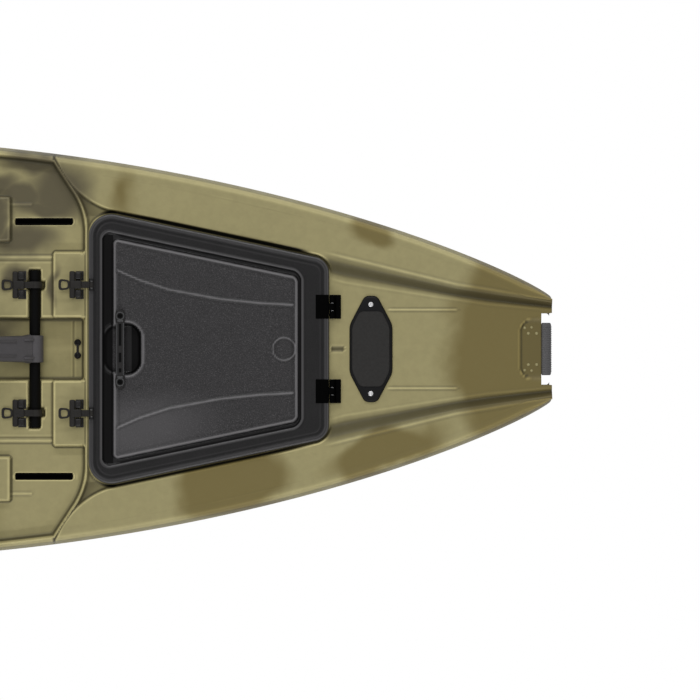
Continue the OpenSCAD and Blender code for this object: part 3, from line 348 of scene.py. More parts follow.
def console_steps(x, ay, z):
    """Raised pads, ledges, the channel and the trough of the cross tube."""
    foot = tray_depth(x, ay)
    z = z + 1.9 * hump(foot + 1.5, 3.0) * smooth((x - 505) / 12) * (ay > 215)
    z = z - 4 * wall(inside_box(x, ay, 352, RISER_X + 40, 204, 480, 6), 5) * wall(foot - 4, 10)
    bead = inside_box(x, ay, 340, 514, 186, 206, 3)
    z = z + (1.6 * hump(ay - 201, 2.6) - 2.2 * hump(ay - 194, 2.2)) * wall(bead + 2, 4)
    z = z + 2.6 * hump(ay - 316, 3.0) * wall(inside_box(x, ay, 416, 466, 309, 321, 3), 6)
    console = x > CONSOLE_START
    for pad, top in (((513, 600, 67, 212, 5), 345), ((300, 419, 235, 332, 4), 342)):
        z = np.maximum(z, z + (top - z) * wall(inside_box(x, ay, *pad), 4) * console)
    slot = inside_box(x, ay, TRACK_X[0] - 0.5, TRACK_X[1], 272.8, 284.2, 3)
    z = z + (311 - z) * wall(slot, 2.5)
    z = z + 1.2 * hump(ay - TRACK_Y, 9) * (hump(x - 421, 3.5) + hump(x - 564, 3.5))
    channel = inside_box(x, ay, CONSOLE_X - 40, RISER_X, -200, CHANNEL_HALF, 7)
    z = z + (np.minimum(z, CHANNEL_Z) - z) * wall(channel, 5) * console
    z = z - 1.6 * hump(x - 555, 2.4) * wall(channel - 6, 6)
    trough = inside_box(x, ay, PIVOT[0] - 13.5, PIVOT[0] + 13.5, -200, 173, 5)
    latch = inside_box(x, ay, PIVOT[0] - 18, PIVOT[0] + 22.5, LATCH_Y - 10, LATCH_Y + 10, 4)
    for hollow, low in ((trough, 303), (latch, 297)):
        z = z + (np.minimum(z, low) - z) * wall(hollow, 3)
    z = z - 3.4 * wall(key_groove(x, ay), 3)
    return z + 2.4 * hump(ay - 85.5, 2.6) * wall(inside_box(x, ay, 1246, 1394, 80.5, 90.5, 4), 6)


def edge_share(height, x, ay, step=3.6, size=1.1):
    """How far each point stands on a ridge, up to 1, or in a crease, down to -1."""
    around = height(x + step, ay) + height(x - step, ay)
    around = around + height(x, ay + step) + height(x, np.abs(ay - step))
    return np.tanh((height(x, ay) - around / 4) / size)


def add_layer(mesh, name, values):
    mesh.attributes.new(name, "FLOAT", "POINT").data.foreach_set("value", values.astype(np.float32))


def add_edges(obj, height, step=3.6, size=1.1):
    """Stores the ridges and creases of a height field on its mesh, where the finish paints highlights and
    shade; on the deck it also stores where painted shade lies.
    """
    mesh = obj.data
    co = np.empty(len(mesh.vertices) * 3)
    mesh.vertices.foreach_get("co", co)
    x, y, z = co.reshape(-1, 3).T / MM
    ay = np.abs(y)
    share = edge_share(height, x, ay, step, size)
    if height is deck_height:
        share = np.where(np.abs(height(x, ay) - z) < 1.5, share, 0)
    add_layer(mesh, "edge", share)
    if height is deck_height:
        add_layer(mesh, "shade", deck_shade(x, ay, y > 0) * (x > 500))
    return obj


# Mesh making
def chain(keys, counts, ends=0.3):
    """Positions through the key values, with that many steps between each pair, closer at both ends."""
    parts = []
    for a, b, n in zip(keys, keys[1:], counts):
        u = np.linspace(0, 1, n + 1)[:-1]
        parts.append(a + (b - a) * ((1 - ends) * u + ends * (0.5 - 0.5 * np.cos(np.pi * u))))
    return np.concatenate(parts + [[keys[-1]]])


def shares(n):
    """Shares from 0 to 1 in n steps."""
    return [k / n for k in range(n + 1)]


def circle(r, n):
    """Points of a circle round the origin."""
    return [(r * math.cos(a), r * math.sin(a)) for a in (2 * math.pi * i / n for i in range(n))]


def stacked(outline, levels):
    """Loops of one outline on top of each other, from its size and height at each level."""
    return [[(x, y, z) for x, y in outline(size)] for size, z in levels]


def link_object(name, data):
    obj = bpy.data.objects.new(name, data)
    bpy.context.scene.collection.objects.link(obj)
    return obj


def new_piece(name, verts, faces, material):
    """A mesh object from points in millimetres."""
    mesh = bpy.data.meshes.new(name)
    points = [tuple(v) for v in np.asarray(verts, float) * MM]
    mesh.from_pydata(points, [], [tuple(map(int, f)) for f in faces])
    mesh.validate()
    bm = bmesh.new()
    bm.from_mesh(mesh)
    bmesh.ops.remove_doubles(bm, verts=bm.verts, dist=1e-6)
    bmesh.ops.recalc_face_normals(bm, faces=bm.faces)
    bm.to_mesh(mesh)
    bm.free()
    mesh.materials.append(material)
    mesh.polygons.foreach_set("use_smooth", [True] * len(mesh.polygons))
    return link_object(name, mesh)


def grid_faces(rows, cols, keep=None, base=0):
    faces = []
    for i in range(rows - 1):
        for j in range(cols - 1):
            if keep is None or keep[i, j]:
                a = base + i * cols + j
                faces.append((a, a + 1, a + cols + 1, a + cols))
    return faces


def sharp_edges(obj, degrees):
    """Keeps edges crisp where the faces meet at more than this angle."""
    bm = bmesh.new()
    bm.from_mesh(obj.data)
    limit = math.radians(degrees)
    for e in bm.edges:
        e.smooth = len(e.link_faces) != 2 or e.calc_face_angle(0) < limit
    bm.to_mesh(obj.data)
    bm.free()


def settle(obj, body, replaces=None):
    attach(obj, body)
    if replaces:
        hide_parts(replaces)


class Shape:
    """Gathers rounded blocks, rods and skins into one piece, in millimetres."""

    def __init__(self):
        self.bm = bmesh.new()

    def take(self, part, bevel, segments=2, at=None):
        if bevel > 0:
            edges = [e for e in part.edges if len(e.link_faces) == 2 and e.calc_face_angle(0) > 0.5]
            bmesh.ops.bevel(part, geom=edges, offset=bevel, segments=segments, profile=0.5,
                            affect="EDGES", clamp_overlap=True)
        if at is not None:
            part.transform(at)
        mesh = bpy.data.meshes.new("part")
        part.to_mesh(mesh)
        part.free()
        self.bm.from_mesh(mesh)
        bpy.data.meshes.remove(mesh)
        return self

    def block(self, low, high, bevel=1.0, at=None, segments=2):
        part = bmesh.new()
        bmesh.ops.create_cube(part, size=1)
        low, high = Vector(low), Vector(high)
        part.transform(Matrix.Translation((low + high) / 2) @ Matrix.Diagonal((*(high - low), 1)))
        return self.take(part, bevel, segments, at)

    def rod(self, start, end, r, bevel=0.0, sides=32, at=None):
        part = bmesh.new()
        start, end = Vector(start), Vector(end)
        bmesh.ops.create_cone(part, cap_ends=True, segments=sides, radius1=r, radius2=r,
                              depth=(end - start).length)
        turn = Vector((0, 0, 1)).rotation_difference(end - start).to_matrix().to_4x4()
        part.transform(Matrix.Translation((start + end) / 2) @ turn)
        return self.take(part, bevel, at=at)

    def face(self, points):
        self.bm.faces.new([self.bm.verts.new(p) for p in points])

    def rings(self, loops, close_ends=True, at=None):
        """A skin through closed loops of points."""
        part = bmesh.new()
        made = [[part.verts.new(tuple(p)) for p in loop] for loop in loops]
        n = len(made[0])
        for a, b in zip(made, made[1:]):
            for i in range(n):
                part.faces.new((a[i], a[(i + 1) % n], b[(i + 1) % n], b[i]))
        if close_ends:
            part.faces.new(made[0][::-1])
            part.faces.new(made[-1])
        bmesh.ops.recalc_face_normals(part, faces=part.faces)
        return self.take(part, 0, at=at)

    def lathe(self, profile, sides, at=None, centre=(0, 0)):
        """A solid turned round an upright axis, from radii and heights."""
        x, y = centre
        return self.rings(stacked(lambda r: [(x + u, y + v) for u, v in circle(r, sides)], profile), True, at)

    def tube(self, points, r, sides=16, at=None):
        """A round bar along a path."""
        pts = [Vector(p) for p in points]
        loops = []
        for i, p in enumerate(pts):
            d = (pts[min(i + 1, len(pts) - 1)] - pts[max(i - 1, 0)]).normalized()
            side = d.cross(Vector((0, 0, 1)))
            side = side.normalized() if side.length > 1e-4 else Vector((1, 0, 0))
            other = side.cross(d).normalized()
            radius = r(i / (len(pts) - 1)) if callable(r) else r
            loops.append([p + u * side + v * other for u, v in circle(radius, sides)])
        return self.rings(loops, True, at)

    def piece(self, name, finish, replaces=None, smooth_over=35, body="hull", slot=None):
        """Makes the shape an object. Its slot argument is not used."""
        self.bm.transform(Matrix.Scale(MM, 4))
        mesh = bpy.data.meshes.new(name)
        self.bm.to_mesh(mesh)
        self.bm.free()
        mesh.materials.append(FINISH[finish])
        mesh.polygons.foreach_set("use_smooth", [True] * len(mesh.polygons))
        obj = link_object(name, mesh)
        sharp_edges(obj, smooth_over)
        settle(obj, body, replaces)


def round_outline(points, radius, steps=6):
    """Rounds the corners of a closed outline."""
    out = []
    for i, q in enumerate(points):
        p, q, r = Vector(points[i - 1]), Vector(q), Vector(points[(i + 1) % len(points)])
        a = q + (p - q).normalized() * min(radius, (p - q).length * 0.45)
        b = q + (r - q).normalized() * min(radius, (r - q).length * 0.45)
        out += [tuple((1 - t) ** 2 * a + 2 * t * (1 - t) * q + t**2 * b) for t in shares(steps)]
    return out


# Materials
class Nodes:
    """A small helper that wires a material's nodes."""

    def __init__(self, name):
        self.material = bpy.data.materials.get(name) or bpy.data.materials.new(name)
        self.material.use_nodes = True
        self.tree = self.material.node_tree
        self.tree.nodes.clear()
        out = self.add("ShaderNodeOutputMaterial")
        self.shader = self.add("ShaderNodeBsdfPrincipled")
        self.put(out.inputs["Surface"], self.shader.outputs[0])
        self.place = self.add("ShaderNodeTexCoord").outputs["Object"]

    def add(self, kind, inputs=None, **values):
        node = self.tree.nodes.new(kind)
        for key, value in values.items():
            setattr(node, key, value)
        for key, value in (inputs or {}).items():
            self.put(node.inputs[key], value)
        return node

    def put(self, socket, value):
        """Links or sets an input. A colour is three numbers."""
        if isinstance(value, bpy.types.NodeSocket):
            self.tree.links.new(value, socket)
        else:
            socket.default_value = (*value, 1) if socket.type == "RGBA" else value

    def noise(self, scale, detail=3.0, rough=0.5, place=None, distort=0.0, output="Fac"):
        return self.add("ShaderNodeTexNoise", {
            "Vector": place or self.place, "Scale": scale, "Detail": detail, "Roughness": rough,
            "Distortion": distort}).outputs[output]

    def cells(self, scale):
        node = self.add("ShaderNodeTexVoronoi", {"Vector": self.place, "Scale": scale}, feature="F1")
        return node.outputs["Distance"]

    def axes(self):
        return self.add("ShaderNodeSeparateXYZ", {0: self.place}).outputs

    def math(self, operation, a, b=0.0, clamp=False):
        return self.add("ShaderNodeMath", {0: a, 1: b}, operation=operation, use_clamp=clamp).outputs[0]

    def vector(self, operation, **inputs):
        places = {"a": 0, "b": 1, "scale": "Scale"}
        inputs = {places[key]: value for key, value in inputs.items()}
        return self.add("ShaderNodeVectorMath", inputs, operation=operation).outputs

    def oval(self, place, centre, half, degrees):
        """Distance from the middle of a turned oval, 1 on its edge."""
        node = self.add("ShaderNodeMapping", {
            "Vector": place, "Location": centre, "Rotation": (0, 0, math.radians(degrees)),
            "Scale": half}, vector_type="TEXTURE")
        return self.vector("LENGTH", a=node.outputs[0])["Value"]

    def spread(self, value, low, high, to_low=0.0, to_high=1.0, soft=False):
        return self.add("ShaderNodeMapRange", {
            "Value": value, "From Min": low, "From Max": high, "To Min": to_low, "To Max": to_high,
        }, interpolation_type="SMOOTHSTEP" if soft else "LINEAR").outputs["Result"]

    def mix(self, share, a, b):
        return self.add("ShaderNodeMix", {"Factor": share, 6: a, 7: b}, data_type="RGBA").outputs[2]

    def mottled(self, share, color, dark, light):
        return self.mix(share, tint(color, dark), tint(color, light))

    def painted_edge_light(self, color, light, dark, lift, sink):
        """Paints highlights on the ridges and shade into the creases that the mesh carries."""
        edge = self.add("ShaderNodeAttribute", attribute_name="edge").outputs["Fac"]
        color = self.mix(self.spread(edge, 0.04, 0.8, 0.0, lift), color, light)
        return self.mix(self.spread(edge, -0.04, -0.9, 0.0, sink), color, dark)

    def bump(self, height, strength, distance, normal=None):
        inputs = {"Strength": strength, "Distance": distance, "Height": height}
        if normal is not None:
            inputs["Normal"] = normal
        return self.add("ShaderNodeBump", inputs).outputs["Normal"]

    def finish(self, color, rough, normal, metallic=0.0, specular=0.5, sheen=0.0):
        for key, value in (("Base Color", color), ("Roughness", rough), ("Normal", normal),
                           ("Metallic", metallic), ("Specular IOR Level", specular), ("Sheen Weight", sheen)):
            self.put(self.shader.inputs[key], value)
        return self.material


def linear(c):
    """An sRGB colour of 0 to 255 as linear light."""
    return tuple((v / 255 / 12.92) if v / 255 <= 0.04045 else ((v / 255 + 0.055) / 1.055) ** 2.4 for v in c)


def tint(color, k):
    """A colour k times as bright, up to full."""
    return tuple(min(1, c * k) for c in color)


# The moulding's brown and dark olive clouds: x, y, half sizes in metres, turn, softness and depth
BROWN_CLOUDS = [
    (1.68, -0.02, 0.30, 0.34, 14, 0.10, 1000.0),
    (0.905, -0.300, 0.125, 0.075, 12, 0.25),
    (1.235, -0.225, 0.135, 0.045, 22, 0.3),
    (1.215, 0.250, 0.045, 0.03, -20, 0.4),
    (0.668, 0.350, 0.020, 0.045, 10, 0.9),
]
OLIVE_CLOUDS = [
    (0.525, 0.350, 0.075, 0.065, -50, 0.5),
    (0.475, 0.405, 0.070, 0.030, -10, 0.5),
    (0.450, 0.335, 0.060, 0.030, 10, 0.6),
    (0.390, 0.350, 0.050, 0.035, 0, 0.5),
    (0.395, 0.290, 0.035, 0.065, 0, 0.5),
    (0.448, 0.243, 0.065, 0.036, 0, 0.6),
    (0.500, 0.312, 0.085, 0.024, 0, 0.6),
    (0.512, 0.140, 0.012, 0.045, 0, 0.6),
    (0.425, 0.160, 0.024, 0.030, 0, 0.6),
    (0.390, 0.040, 0.060, 0.028, 0, 0.6),
]
CLOUD_Z = 0.345
CLOUD_DEEP = 0.13


def camo_plastic(look):
    """Moulded hull plastic: khaki with soft brown and dark olive clouds and a fine satin grain, with painted
    highlights on ridges and painted shade in creases, slopes, hollows and gaps.
    """
    m = Nodes("hull_camo")
    shift = m.vector("SUBTRACT", a=m.noise(9.0, 2.5, output="Color"), b=(0.5, 0.5, 0.5))[0]
    scaled = m.vector("SCALE", a=shift, scale=look.cloud_warp)[0]
    place = m.vector("ADD", a=m.place, b=scaled)[0]

    def cloud(x, y, rx, ry, turn, soft, deep=CLOUD_DEEP):
        far = m.oval(place, (x, y, CLOUD_Z), (rx, ry, deep), turn)
        return m.spread(far, 1 + soft, 1 - soft, soft=True)

    def clouds(rows):
        total = cloud(*rows[0])
        for row in rows[1:]:
            total = m.math("MAXIMUM", total, cloud(*row))
        return total

    def wide_clouds(total, scale, rough, distort, low, high):
        far = m.spread(m.noise(scale, 2.0, rough, place, distort), low, high, soft=True)
        return m.math("MAXIMUM", total, m.math("MULTIPLY", far, aft), True)

    axes = m.axes()
    aft = m.math("MAXIMUM", m.spread(axes["X"], 0.42, 0.34, soft=True),
                 m.spread(axes["Z"], 0.30, 0.24, soft=True))
    brown = wide_clouds(clouds(BROWN_CLOUDS), 3.2, 0.5, 0.0, 0.50, 0.60)
    olive = wide_clouds(clouds(OLIVE_CLOUDS), 2.7, 0.45, 0.3, 0.56, 0.66)
    khaki = m.mottled(m.spread(m.noise(60, 3.0, 0.6), 0.35, 0.65), look.khaki, 0.965, 1.04)
    color = m.mix(m.math("MULTIPLY", brown, 0.92), khaki, tuple(look.brown))
    color = m.mix(m.math("MULTIPLY", olive, 0.9), color, tuple(look.olive))
    wear = m.spread(m.noise(420, 2.0, 0.7), 0.62, 0.78)
    color = m.mix(m.math("MULTIPLY", wear, 0.10), color, tint(look.khaki, 1.5))
    lit = m.vector("SCALE", a=color, scale=2.1)[0]
    # Painted highlights on ridges and painted shade in creases.
    color = m.painted_edge_light(color, lit, tint(look.khaki, 0.16), 0.6, 0.8)
    # Painted shade from the deck's shade attribute, and past 1 a painted black shadow in the gap beside the
    # lid.
    shade = m.add("ShaderNodeAttribute", attribute_name="shade").outputs["Fac"]
    painted_shade = tuple(c * v for c, v in zip(look.khaki, (0.16, 0.15, 0.14)))
    color = m.mix(m.spread(shade, 0.0, 1.0, 0.0, 0.78), color, painted_shade)
    color = m.mix(m.spread(shade, 1.0, 2.0), color, (0.003, 0.003, 0.002))
    rough = m.spread(m.noise(25, 2.0), 0.3, 0.7, look.roughness - 0.05, look.roughness + 0.06)
    normal = m.bump(m.noise(900, 2.0, 0.6), 0.10, 0.0006)
    return m.finish(color, rough, m.bump(m.noise(45, 2.0), 0.10, 0.002, normal), specular=0.35)


def grained_plastic(name, color, rough, grain, bump, speckle=0.0, fleck=3.2, specular=0.45, edges=False,
                    painted_sheen=None):
    """Moulded plastic with a leather grain and, where asked, pale flecks, painted highlights on ridges with
    painted shade in creases, and a painted sheen on an oval.
    """
    m = Nodes(name)
    base = m.mottled(m.spread(m.noise(40, 2.0), 0.3, 0.7), color, 0.95, 1.05)
    if speckle > 0:
        pits = m.spread(m.noise(grain * 0.9, 2.0, 0.7), 0.46, 0.36)
        base = m.mix(m.math("MULTIPLY", pits, speckle), base, tint(color, 0.35))
        spots = m.spread(m.noise(grain * 1.1, 2.0, 0.75), 0.54, 0.66)
        base = m.mix(m.math("MULTIPLY", spots, speckle), base, tint(color, fleck))
    # A painted sheen: a soft oval made lighter.
    if painted_sheen:
        x, y, rx, ry, turn = painted_sheen
        far = m.oval(m.place, (x, y, 0), (rx, ry, 1e3), turn)
        base = m.mix(m.spread(far, 1.35, 0.2, 0.0, 0.55, soft=True), base, tint(color, 3.1))
    # Painted highlights on ridges and painted shade in creases.
    if edges:
        light = tuple(min(1, c * 6 + 0.05) for c in color)
        base = m.painted_edge_light(base, light, tint(color, 0.1), 0.55, 0.8)
    height = m.math("ADD", m.cells(grain), m.math("MULTIPLY", m.noise(grain * 0.7, 2.0, 0.6), 0.6))
    r = m.spread(m.noise(35, 2.0), 0.3, 0.7, rough - 0.05, rough + 0.06)
    return m.finish(base, r, m.bump(height, bump, 0.0006), specular=specular)


def rubber(name, color, rough=0.62):
    m = Nodes(name)
    base = m.mottled(m.spread(m.noise(140, 3.0, 0.6), 0.3, 0.7), color, 0.85, 1.15)
    r = m.spread(m.noise(60, 2.0), 0.3, 0.7, rough - 0.06, rough + 0.06)
    return m.finish(base, r, m.bump(m.noise(1500, 2.0, 0.6), 0.12, 0.0004), specular=0.4)


def metal(name, color, rough, brushed, metallic=1.0, specular=0.5):
    """Metal with fine brush marks along one direction."""
    m = Nodes(name)
    stretch = m.add("ShaderNodeMapping", {"Vector": m.place, "Scale": brushed})
    marks = m.noise(40, 3.0, 0.6, stretch.outputs[0])
    base = m.mottled(m.spread(marks, 0.3, 0.7), color, 0.9, 1.08)
    r = m.spread(marks, 0.3, 0.7, rough - 0.07, rough + 0.09)
    return m.finish(base, r, m.bump(marks, 0.06, 0.0003), metallic, specular)


def woven(name, color, pitch=1302.0):
    """Open mesh fabric: crossed threads over a darker ground."""
    m = Nodes(name)
    axes = m.axes()
    diagonal = m.math("ADD", axes["X"], axes["Z"])

    def threads(way):
        across = m.math(way, diagonal, axes["Y"])
        return m.math("ABSOLUTE", m.math("SINE", m.math("MULTIPLY", across, pitch)))

    height = m.math("ADD", threads("ADD"), threads("SUBTRACT"))
    base = m.mottled(m.spread(height, 0.5, 1.7), color, 0.45, 1.25)
    base = m.mix(m.spread(m.noise(30, 2.0), 0.3, 0.8, 0.0, 0.25), base, tint(color, 1.6))
    return m.finish(base, 0.85, m.bump(height, 0.35, 0.0008), specular=0.25, sheen=0.3)


def foam_finish(name, color, scale=650.0):
    m = Nodes(name)
    base = m.mottled(m.spread(m.noise(scale * 0.3), 0.3, 0.7), color, 0.9, 1.05)
    return m.finish(base, 0.85, m.bump(m.cells(scale), 0.3, 0.0008), specular=0.3)


def finishes():
    """Every finish by name; most names are slots in the record."""
    look = bpy.context.scene.kayak_finish
    lid = tuple(look.lid)
    # Settings that turn on painted highlights on ridges and painted shade in creases.
    painted_edge_light = {"specular": 0.4, "edges": True}
    coal = linear((15, 15, 16))
    steel = (0.86, 0.86, 0.87)
    return {
        "hull_plastic": camo_plastic(look),
        "lid_plastic": grained_plastic("lid_grain", lid, 0.42, 400, 0.4, 0.75, 3.0,
                                       painted_sheen=(0.70, -0.175, 0.17, 0.075, 10), **painted_edge_light),
        "lid_rim": grained_plastic("lid_rim_grain", tint(lid, 0.42), 0.34, 420, 0.16, 0.25, **painted_edge_light),
        # Near-black finish for painted shade in the lid's aft groove and finger pocket.
        "lid_shade": grained_plastic("lid_painted_shade_grain", tint(lid, 0.12), 0.5, 420, 0.1, 0.1,
                                     specular=0.15, edges=True),
        "rivet_khaki": grained_plastic("rivet_finish", tuple(look.khaki), 0.4, 300, 0.05),
        "plate_black": grained_plastic("plate_moulding", coal, 0.5, 800, 0.15, 0.1, specular=0.3),
        "black_plastic": grained_plastic("black_moulding", tuple(look.fitting), 0.45, 800, 0.15, 0.1),
        # Lighter grey for painted sheen on the lid handle's edges, rings and bars.
        "handle_edge": grained_plastic("handle_painted_sheen", linear((66, 66, 67)), 0.4, 800, 0.15, 0.1),
        "hinge_black": grained_plastic("hinge_moulding", (0.0006, 0.0006, 0.0006), 0.7, 800, 0.1,
                                       specular=0.04),
        "latch_rubber": rubber("latch_rubber_finish", linear((34, 32, 30))),
        "gasket_rubber": rubber("gasket_rubber_finish", (0.012, 0.012, 0.012), 0.75),
        "stainless": metal("stainless_finish", steel, 0.34, (1, 30, 1), 0.5),
        "gear_steel": metal("gear_steel_finish", (0.42, 0.42, 0.44), 0.34, (20, 20, 20)),
        "eva_pad": foam_finish("eva_pad_finish", linear((47, 46, 45)), 520),
        "grey_plastic": grained_plastic("grey_moulding", linear((78, 76, 78)), 0.42, 600, 0.12, 0.12),
        "bow_grip": grained_plastic("bow_grip_moulding", linear((84, 83, 84)), 0.5, 700, 0.1, 0.1),
        "black_anodised": metal("black_anodised_finish", (0.012, 0.012, 0.013), 0.42, (1, 1, 30), 0.6),
        "tube_black": metal("cross_tube_finish", (0.002, 0.002, 0.002), 0.6, (1, 1, 30), 0.0, 0.12),
        "clear_anodised": metal("clear_anodised_finish", (0.5, 0.5, 0.52), 0.36, (30, 1, 1)),
        "drive_plastic": grained_plastic("drive_moulding", (0.016, 0.016, 0.018), 0.4, 500, 0.15, 0.1),
        "nylon": grained_plastic("nylon_finish", (0.62, 0.6, 0.54), 0.38, 300, 0.05),
        "prop_plastic": grained_plastic("prop_moulding", (0.012, 0.012, 0.012), 0.3, 300, 0.06),
        "seat_mesh": woven("seat_mesh_finish", (0.035, 0.035, 0.038)),
        "blade_plastic": grained_plastic("blade_moulding", (0.018, 0.018, 0.02), 0.35, 300, 0.08),
        "foam": foam_finish("foam_finish", (0.78, 0.78, 0.76)),
    }


FINISH = {}


# Settings a user would change
def color_setting(name, description, rgb):
    return bpy.props.FloatVectorProperty(
        name=name, description=description, default=linear(rgb), size=3, subtype="COLOR", min=0, max=1)


class KAYAK_PG_stage(bpy.types.PropertyGroup):
    """Camera, lamps and sky."""

    lens: bpy.props.FloatProperty(
        name="Lens", description="Focal length of the camera", default=300.0, min=50.0,
        subtype="DISTANCE_CAMERA")
    view_width: bpy.props.FloatProperty(
        name="View width", description="Width of the deck that the picture takes in", default=1.526,
        unit="LENGTH")
    center_x: bpy.props.FloatProperty(
        name="View centre", description="Where along the kayak the camera looks", default=1.1607,
        unit="LENGTH")
    center_y: bpy.props.FloatProperty(
        name="View side", description="How far to port the camera looks", default=-0.0022, unit="LENGTH")
    top_light: bpy.props.FloatProperty(
        name="Top light", description="Strength of the light from overhead", default=1.2, min=0.0)
    strip_power: bpy.props.FloatProperty(
        name="Strip lamps", description="Power of each long side lamp", default=54.0, min=0.0, unit="POWER")
    sky: bpy.props.FloatProperty(
        name="Sky", description="Strength of the light from all round", default=0.26, min=0.0, max=2.0)


class KAYAK_PG_finish(bpy.types.PropertyGroup):
    """Colours of the hull, lid and fittings."""

    khaki: color_setting("Khaki", "Ground colour of the hull", (150, 142, 102))
    brown: color_setting("Brown", "Colour of the brown clouds", (110, 98, 57))
    olive: color_setting("Dark olive", "Colour of the dark clouds", (80, 74, 58))
    lid: color_setting("Lid", "Colour of the hatch lid", (49, 48, 49))
    fitting: color_setting("Fittings", "Colour of the black fittings", (30, 29, 29))
    roughness: bpy.props.FloatProperty(
        name="Hull roughness", description="How matt the hull plastic is", default=0.5, min=0.1, max=1.0,
        subtype="FACTOR")
    cloud_warp: bpy.props.FloatProperty(
        name="Cloud warp", description="How ragged the camouflage edges are", default=0.10, min=0.0,
        unit="LENGTH")


class KAYAK_PG_lid(bpy.types.PropertyGroup):
    """Hatch lid."""

    panel_rise: bpy.props.FloatProperty(
        name="Panel rise", description="Height of the raised panel over the rim", default=0.006, min=0.0,
        max=0.02, unit="LENGTH")
    groove: bpy.props.FloatProperty(
        name="Groove", description="Depth of the groove round the panel", default=0.0035, min=0.0,
        max=0.006, unit="LENGTH")
    crease: bpy.props.FloatProperty(
        name="Crease", description="Depth of the two curved creases", default=0.0022, min=0.0, max=0.006,
        unit="LENGTH")


FLOOR_HALF = 30000.0
FLOOR_LOW = -3.0
SENSOR = 36.0


class KAYAK_OT_stage(bpy.types.Operator):
    """Camera, floor, lamps and world"""

    bl_idname = "kayak.stage"
    bl_label = "Stage"

    def execute(self, context):
        scene = context.scene
        scene.view_settings.view_transform = "Standard"
        self.world(scene)
        self.floor()
        self.camera(scene)
        self.lamps(scene.kayak_stage)
        return {"FINISHED"}

    def world(self, scene):
        """White where the camera looks straight at it, and a soft sky for the lighting."""
        scene.world = bpy.data.worlds.new("studio")
        scene.world.use_nodes = True
        tree = scene.world.node_tree
        tree.nodes.clear()
        kinds = ("OutputWorld", "Background", "Background", "LightPath", "Math", "MixShader")
        out, light, seen, path, either, mix = (tree.nodes.new("ShaderNode" + kind) for kind in kinds)
        light.inputs["Color"].default_value = (1.0, 1.0, 1.0, 1)
        light.inputs["Strength"].default_value = scene.kayak_stage.sky
        seen.inputs["Strength"].default_value = 1.0
        either.operation = "MAXIMUM"
        for a, b in ((path.outputs["Is Camera Ray"], either.inputs[0]),
                     (path.outputs["Is Transmission Ray"], either.inputs[1]),
                     (either.outputs[0], mix.inputs[0]), (light.outputs[0], mix.inputs[1]),
                     (seen.outputs[0], mix.inputs[2]), (mix.outputs[0], out.inputs[0])):
            tree.links.new(a, b)

    def floor(self):
        """A floor that the camera sees as pure white and that is matt white to all other light."""
        mat = bpy.data.materials.new("white_floor")
        mat.use_nodes = True
        tree = mat.node_tree
        tree.nodes.clear()
        kinds = ("OutputMaterial", "BsdfDiffuse", "Emission", "LightPath", "MixShader")
        out, diffuse, glow, path, mix = (tree.nodes.new("ShaderNode" + kind) for kind in kinds)
        diffuse.inputs["Color"].default_value = (0.8, 0.8, 0.8, 1)
        glow.inputs["Color"].default_value = (1, 1, 1, 1)
        for a, b in ((path.outputs["Is Camera Ray"], mix.inputs[0]), (diffuse.outputs[0], mix.inputs[1]),
                     (glow.outputs[0], mix.inputs[2]), (mix.outputs[0], out.inputs[0])):
            tree.links.new(a, b)
        signs = ((-1, -1), (1, -1), (1, 1), (-1, 1))
        corners = [(u * FLOOR_HALF, v * FLOOR_HALF, FLOOR_LOW) for u, v in signs]
        new_piece("floor", corners, [(0, 1, 2, 3)], mat)

    def camera(self, scene):
        s = scene.kayak_stage
        data = bpy.data.cameras.new("camera")
        data.lens = s.lens
        data.sensor_width = SENSOR
        data.clip_end = 200.0
        eye = link_object("camera", data)
        eye.location = (s.center_x, s.center_y, DECK_Z * MM + s.view_width * s.lens / SENSOR)
        scene.camera = eye

    def lamps(self, s):
        top = bpy.data.lights.new("top", "SUN")
        top.energy = s.top_light
        top.angle = math.radians(28)
        above = link_object("top", top)
        above.rotation_euler = (math.radians(-6), math.radians(-4), 0)
        above.visible_glossy = False
        for word, side, share in (("port", 1, 1.15), ("starboard", -1, 0.9)):
            data = bpy.data.lights.new("strip_" + word, "AREA")
            data.energy = s.strip_power * share
            data.shape = "RECTANGLE"
            data.size = 4.6
            data.size_y = 0.35
            strip = link_object("strip_" + word, data)
            strip.location = (0.3, side * 3.3, 3.3)
            aim = Vector((0.3, 0, 0.3)) - strip.location
            strip.rotation_euler = aim.to_track_quat("-Z", "Y").to_euler()


# Deck and hull
def mirrored(x, y, z):
    """A row of points from starboard to port, out of its port half that starts on the middle line."""
    y, z = np.concatenate([-y[:0:-1], y]), np.concatenate([z[:0:-1], z])
    return np.column_stack([np.full_like(y, x), y, z])


def between(grid):
    """Middle of each cell of a grid of points."""
    return (grid[:-1, :-1] + grid[1:, 1:]) / 2


def deck_columns(x, zone):
    """Distances from the middle line of the deck's columns at x, closest together at its edges."""
    half = rounded_half(x)
    edge = half - DECK_ROUND
    if zone == "cockpit":
        return chain([0, 50, 56, 200, 222, half - 30, half - 18, edge], [8, 3, 22, 10, 18, 8, 4])
    if zone == "stern":
        return chain([0, 40, half - 88, half - 62, half - 36, edge], [6, 20, 10, 6, 8])
    inner, outer = (float(v) for v in panel_lines(x))
    side = LID_HALF[0] - LID_SLOPE * (x - LID_X[0])
    lid, fore = float(smooth((x - 572) / 26)), float(smooth((x - 1085) / 55))
    k2 = CHANNEL_HALF + 11 * float(smooth((x - 600) / 500))
    k3, k4 = 214 + (side - 16 - 214) * lid, 292 + (side + 12 - 292) * lid
    k3, k4 = k3 + (inner - 4 - k3) * fore, k4 + (outer + 4 - k4) * fore
    rim = float(plan_half(x)) - RIM
    k5 = rim if x < 1500 else min(rim, edge - 6)
    k3 = max(k3, k2 + 4)
    k4 = max(k4, k3 + 6)
    k5 = max(k5, k4 + 2)
    if k5 >= edge:
        k5 = (k4 + edge) / 2
    return chain([0, 50.0, k2, k3, k4, k5, edge], [10, 6, 36, 34, 44, 8], 0.5)


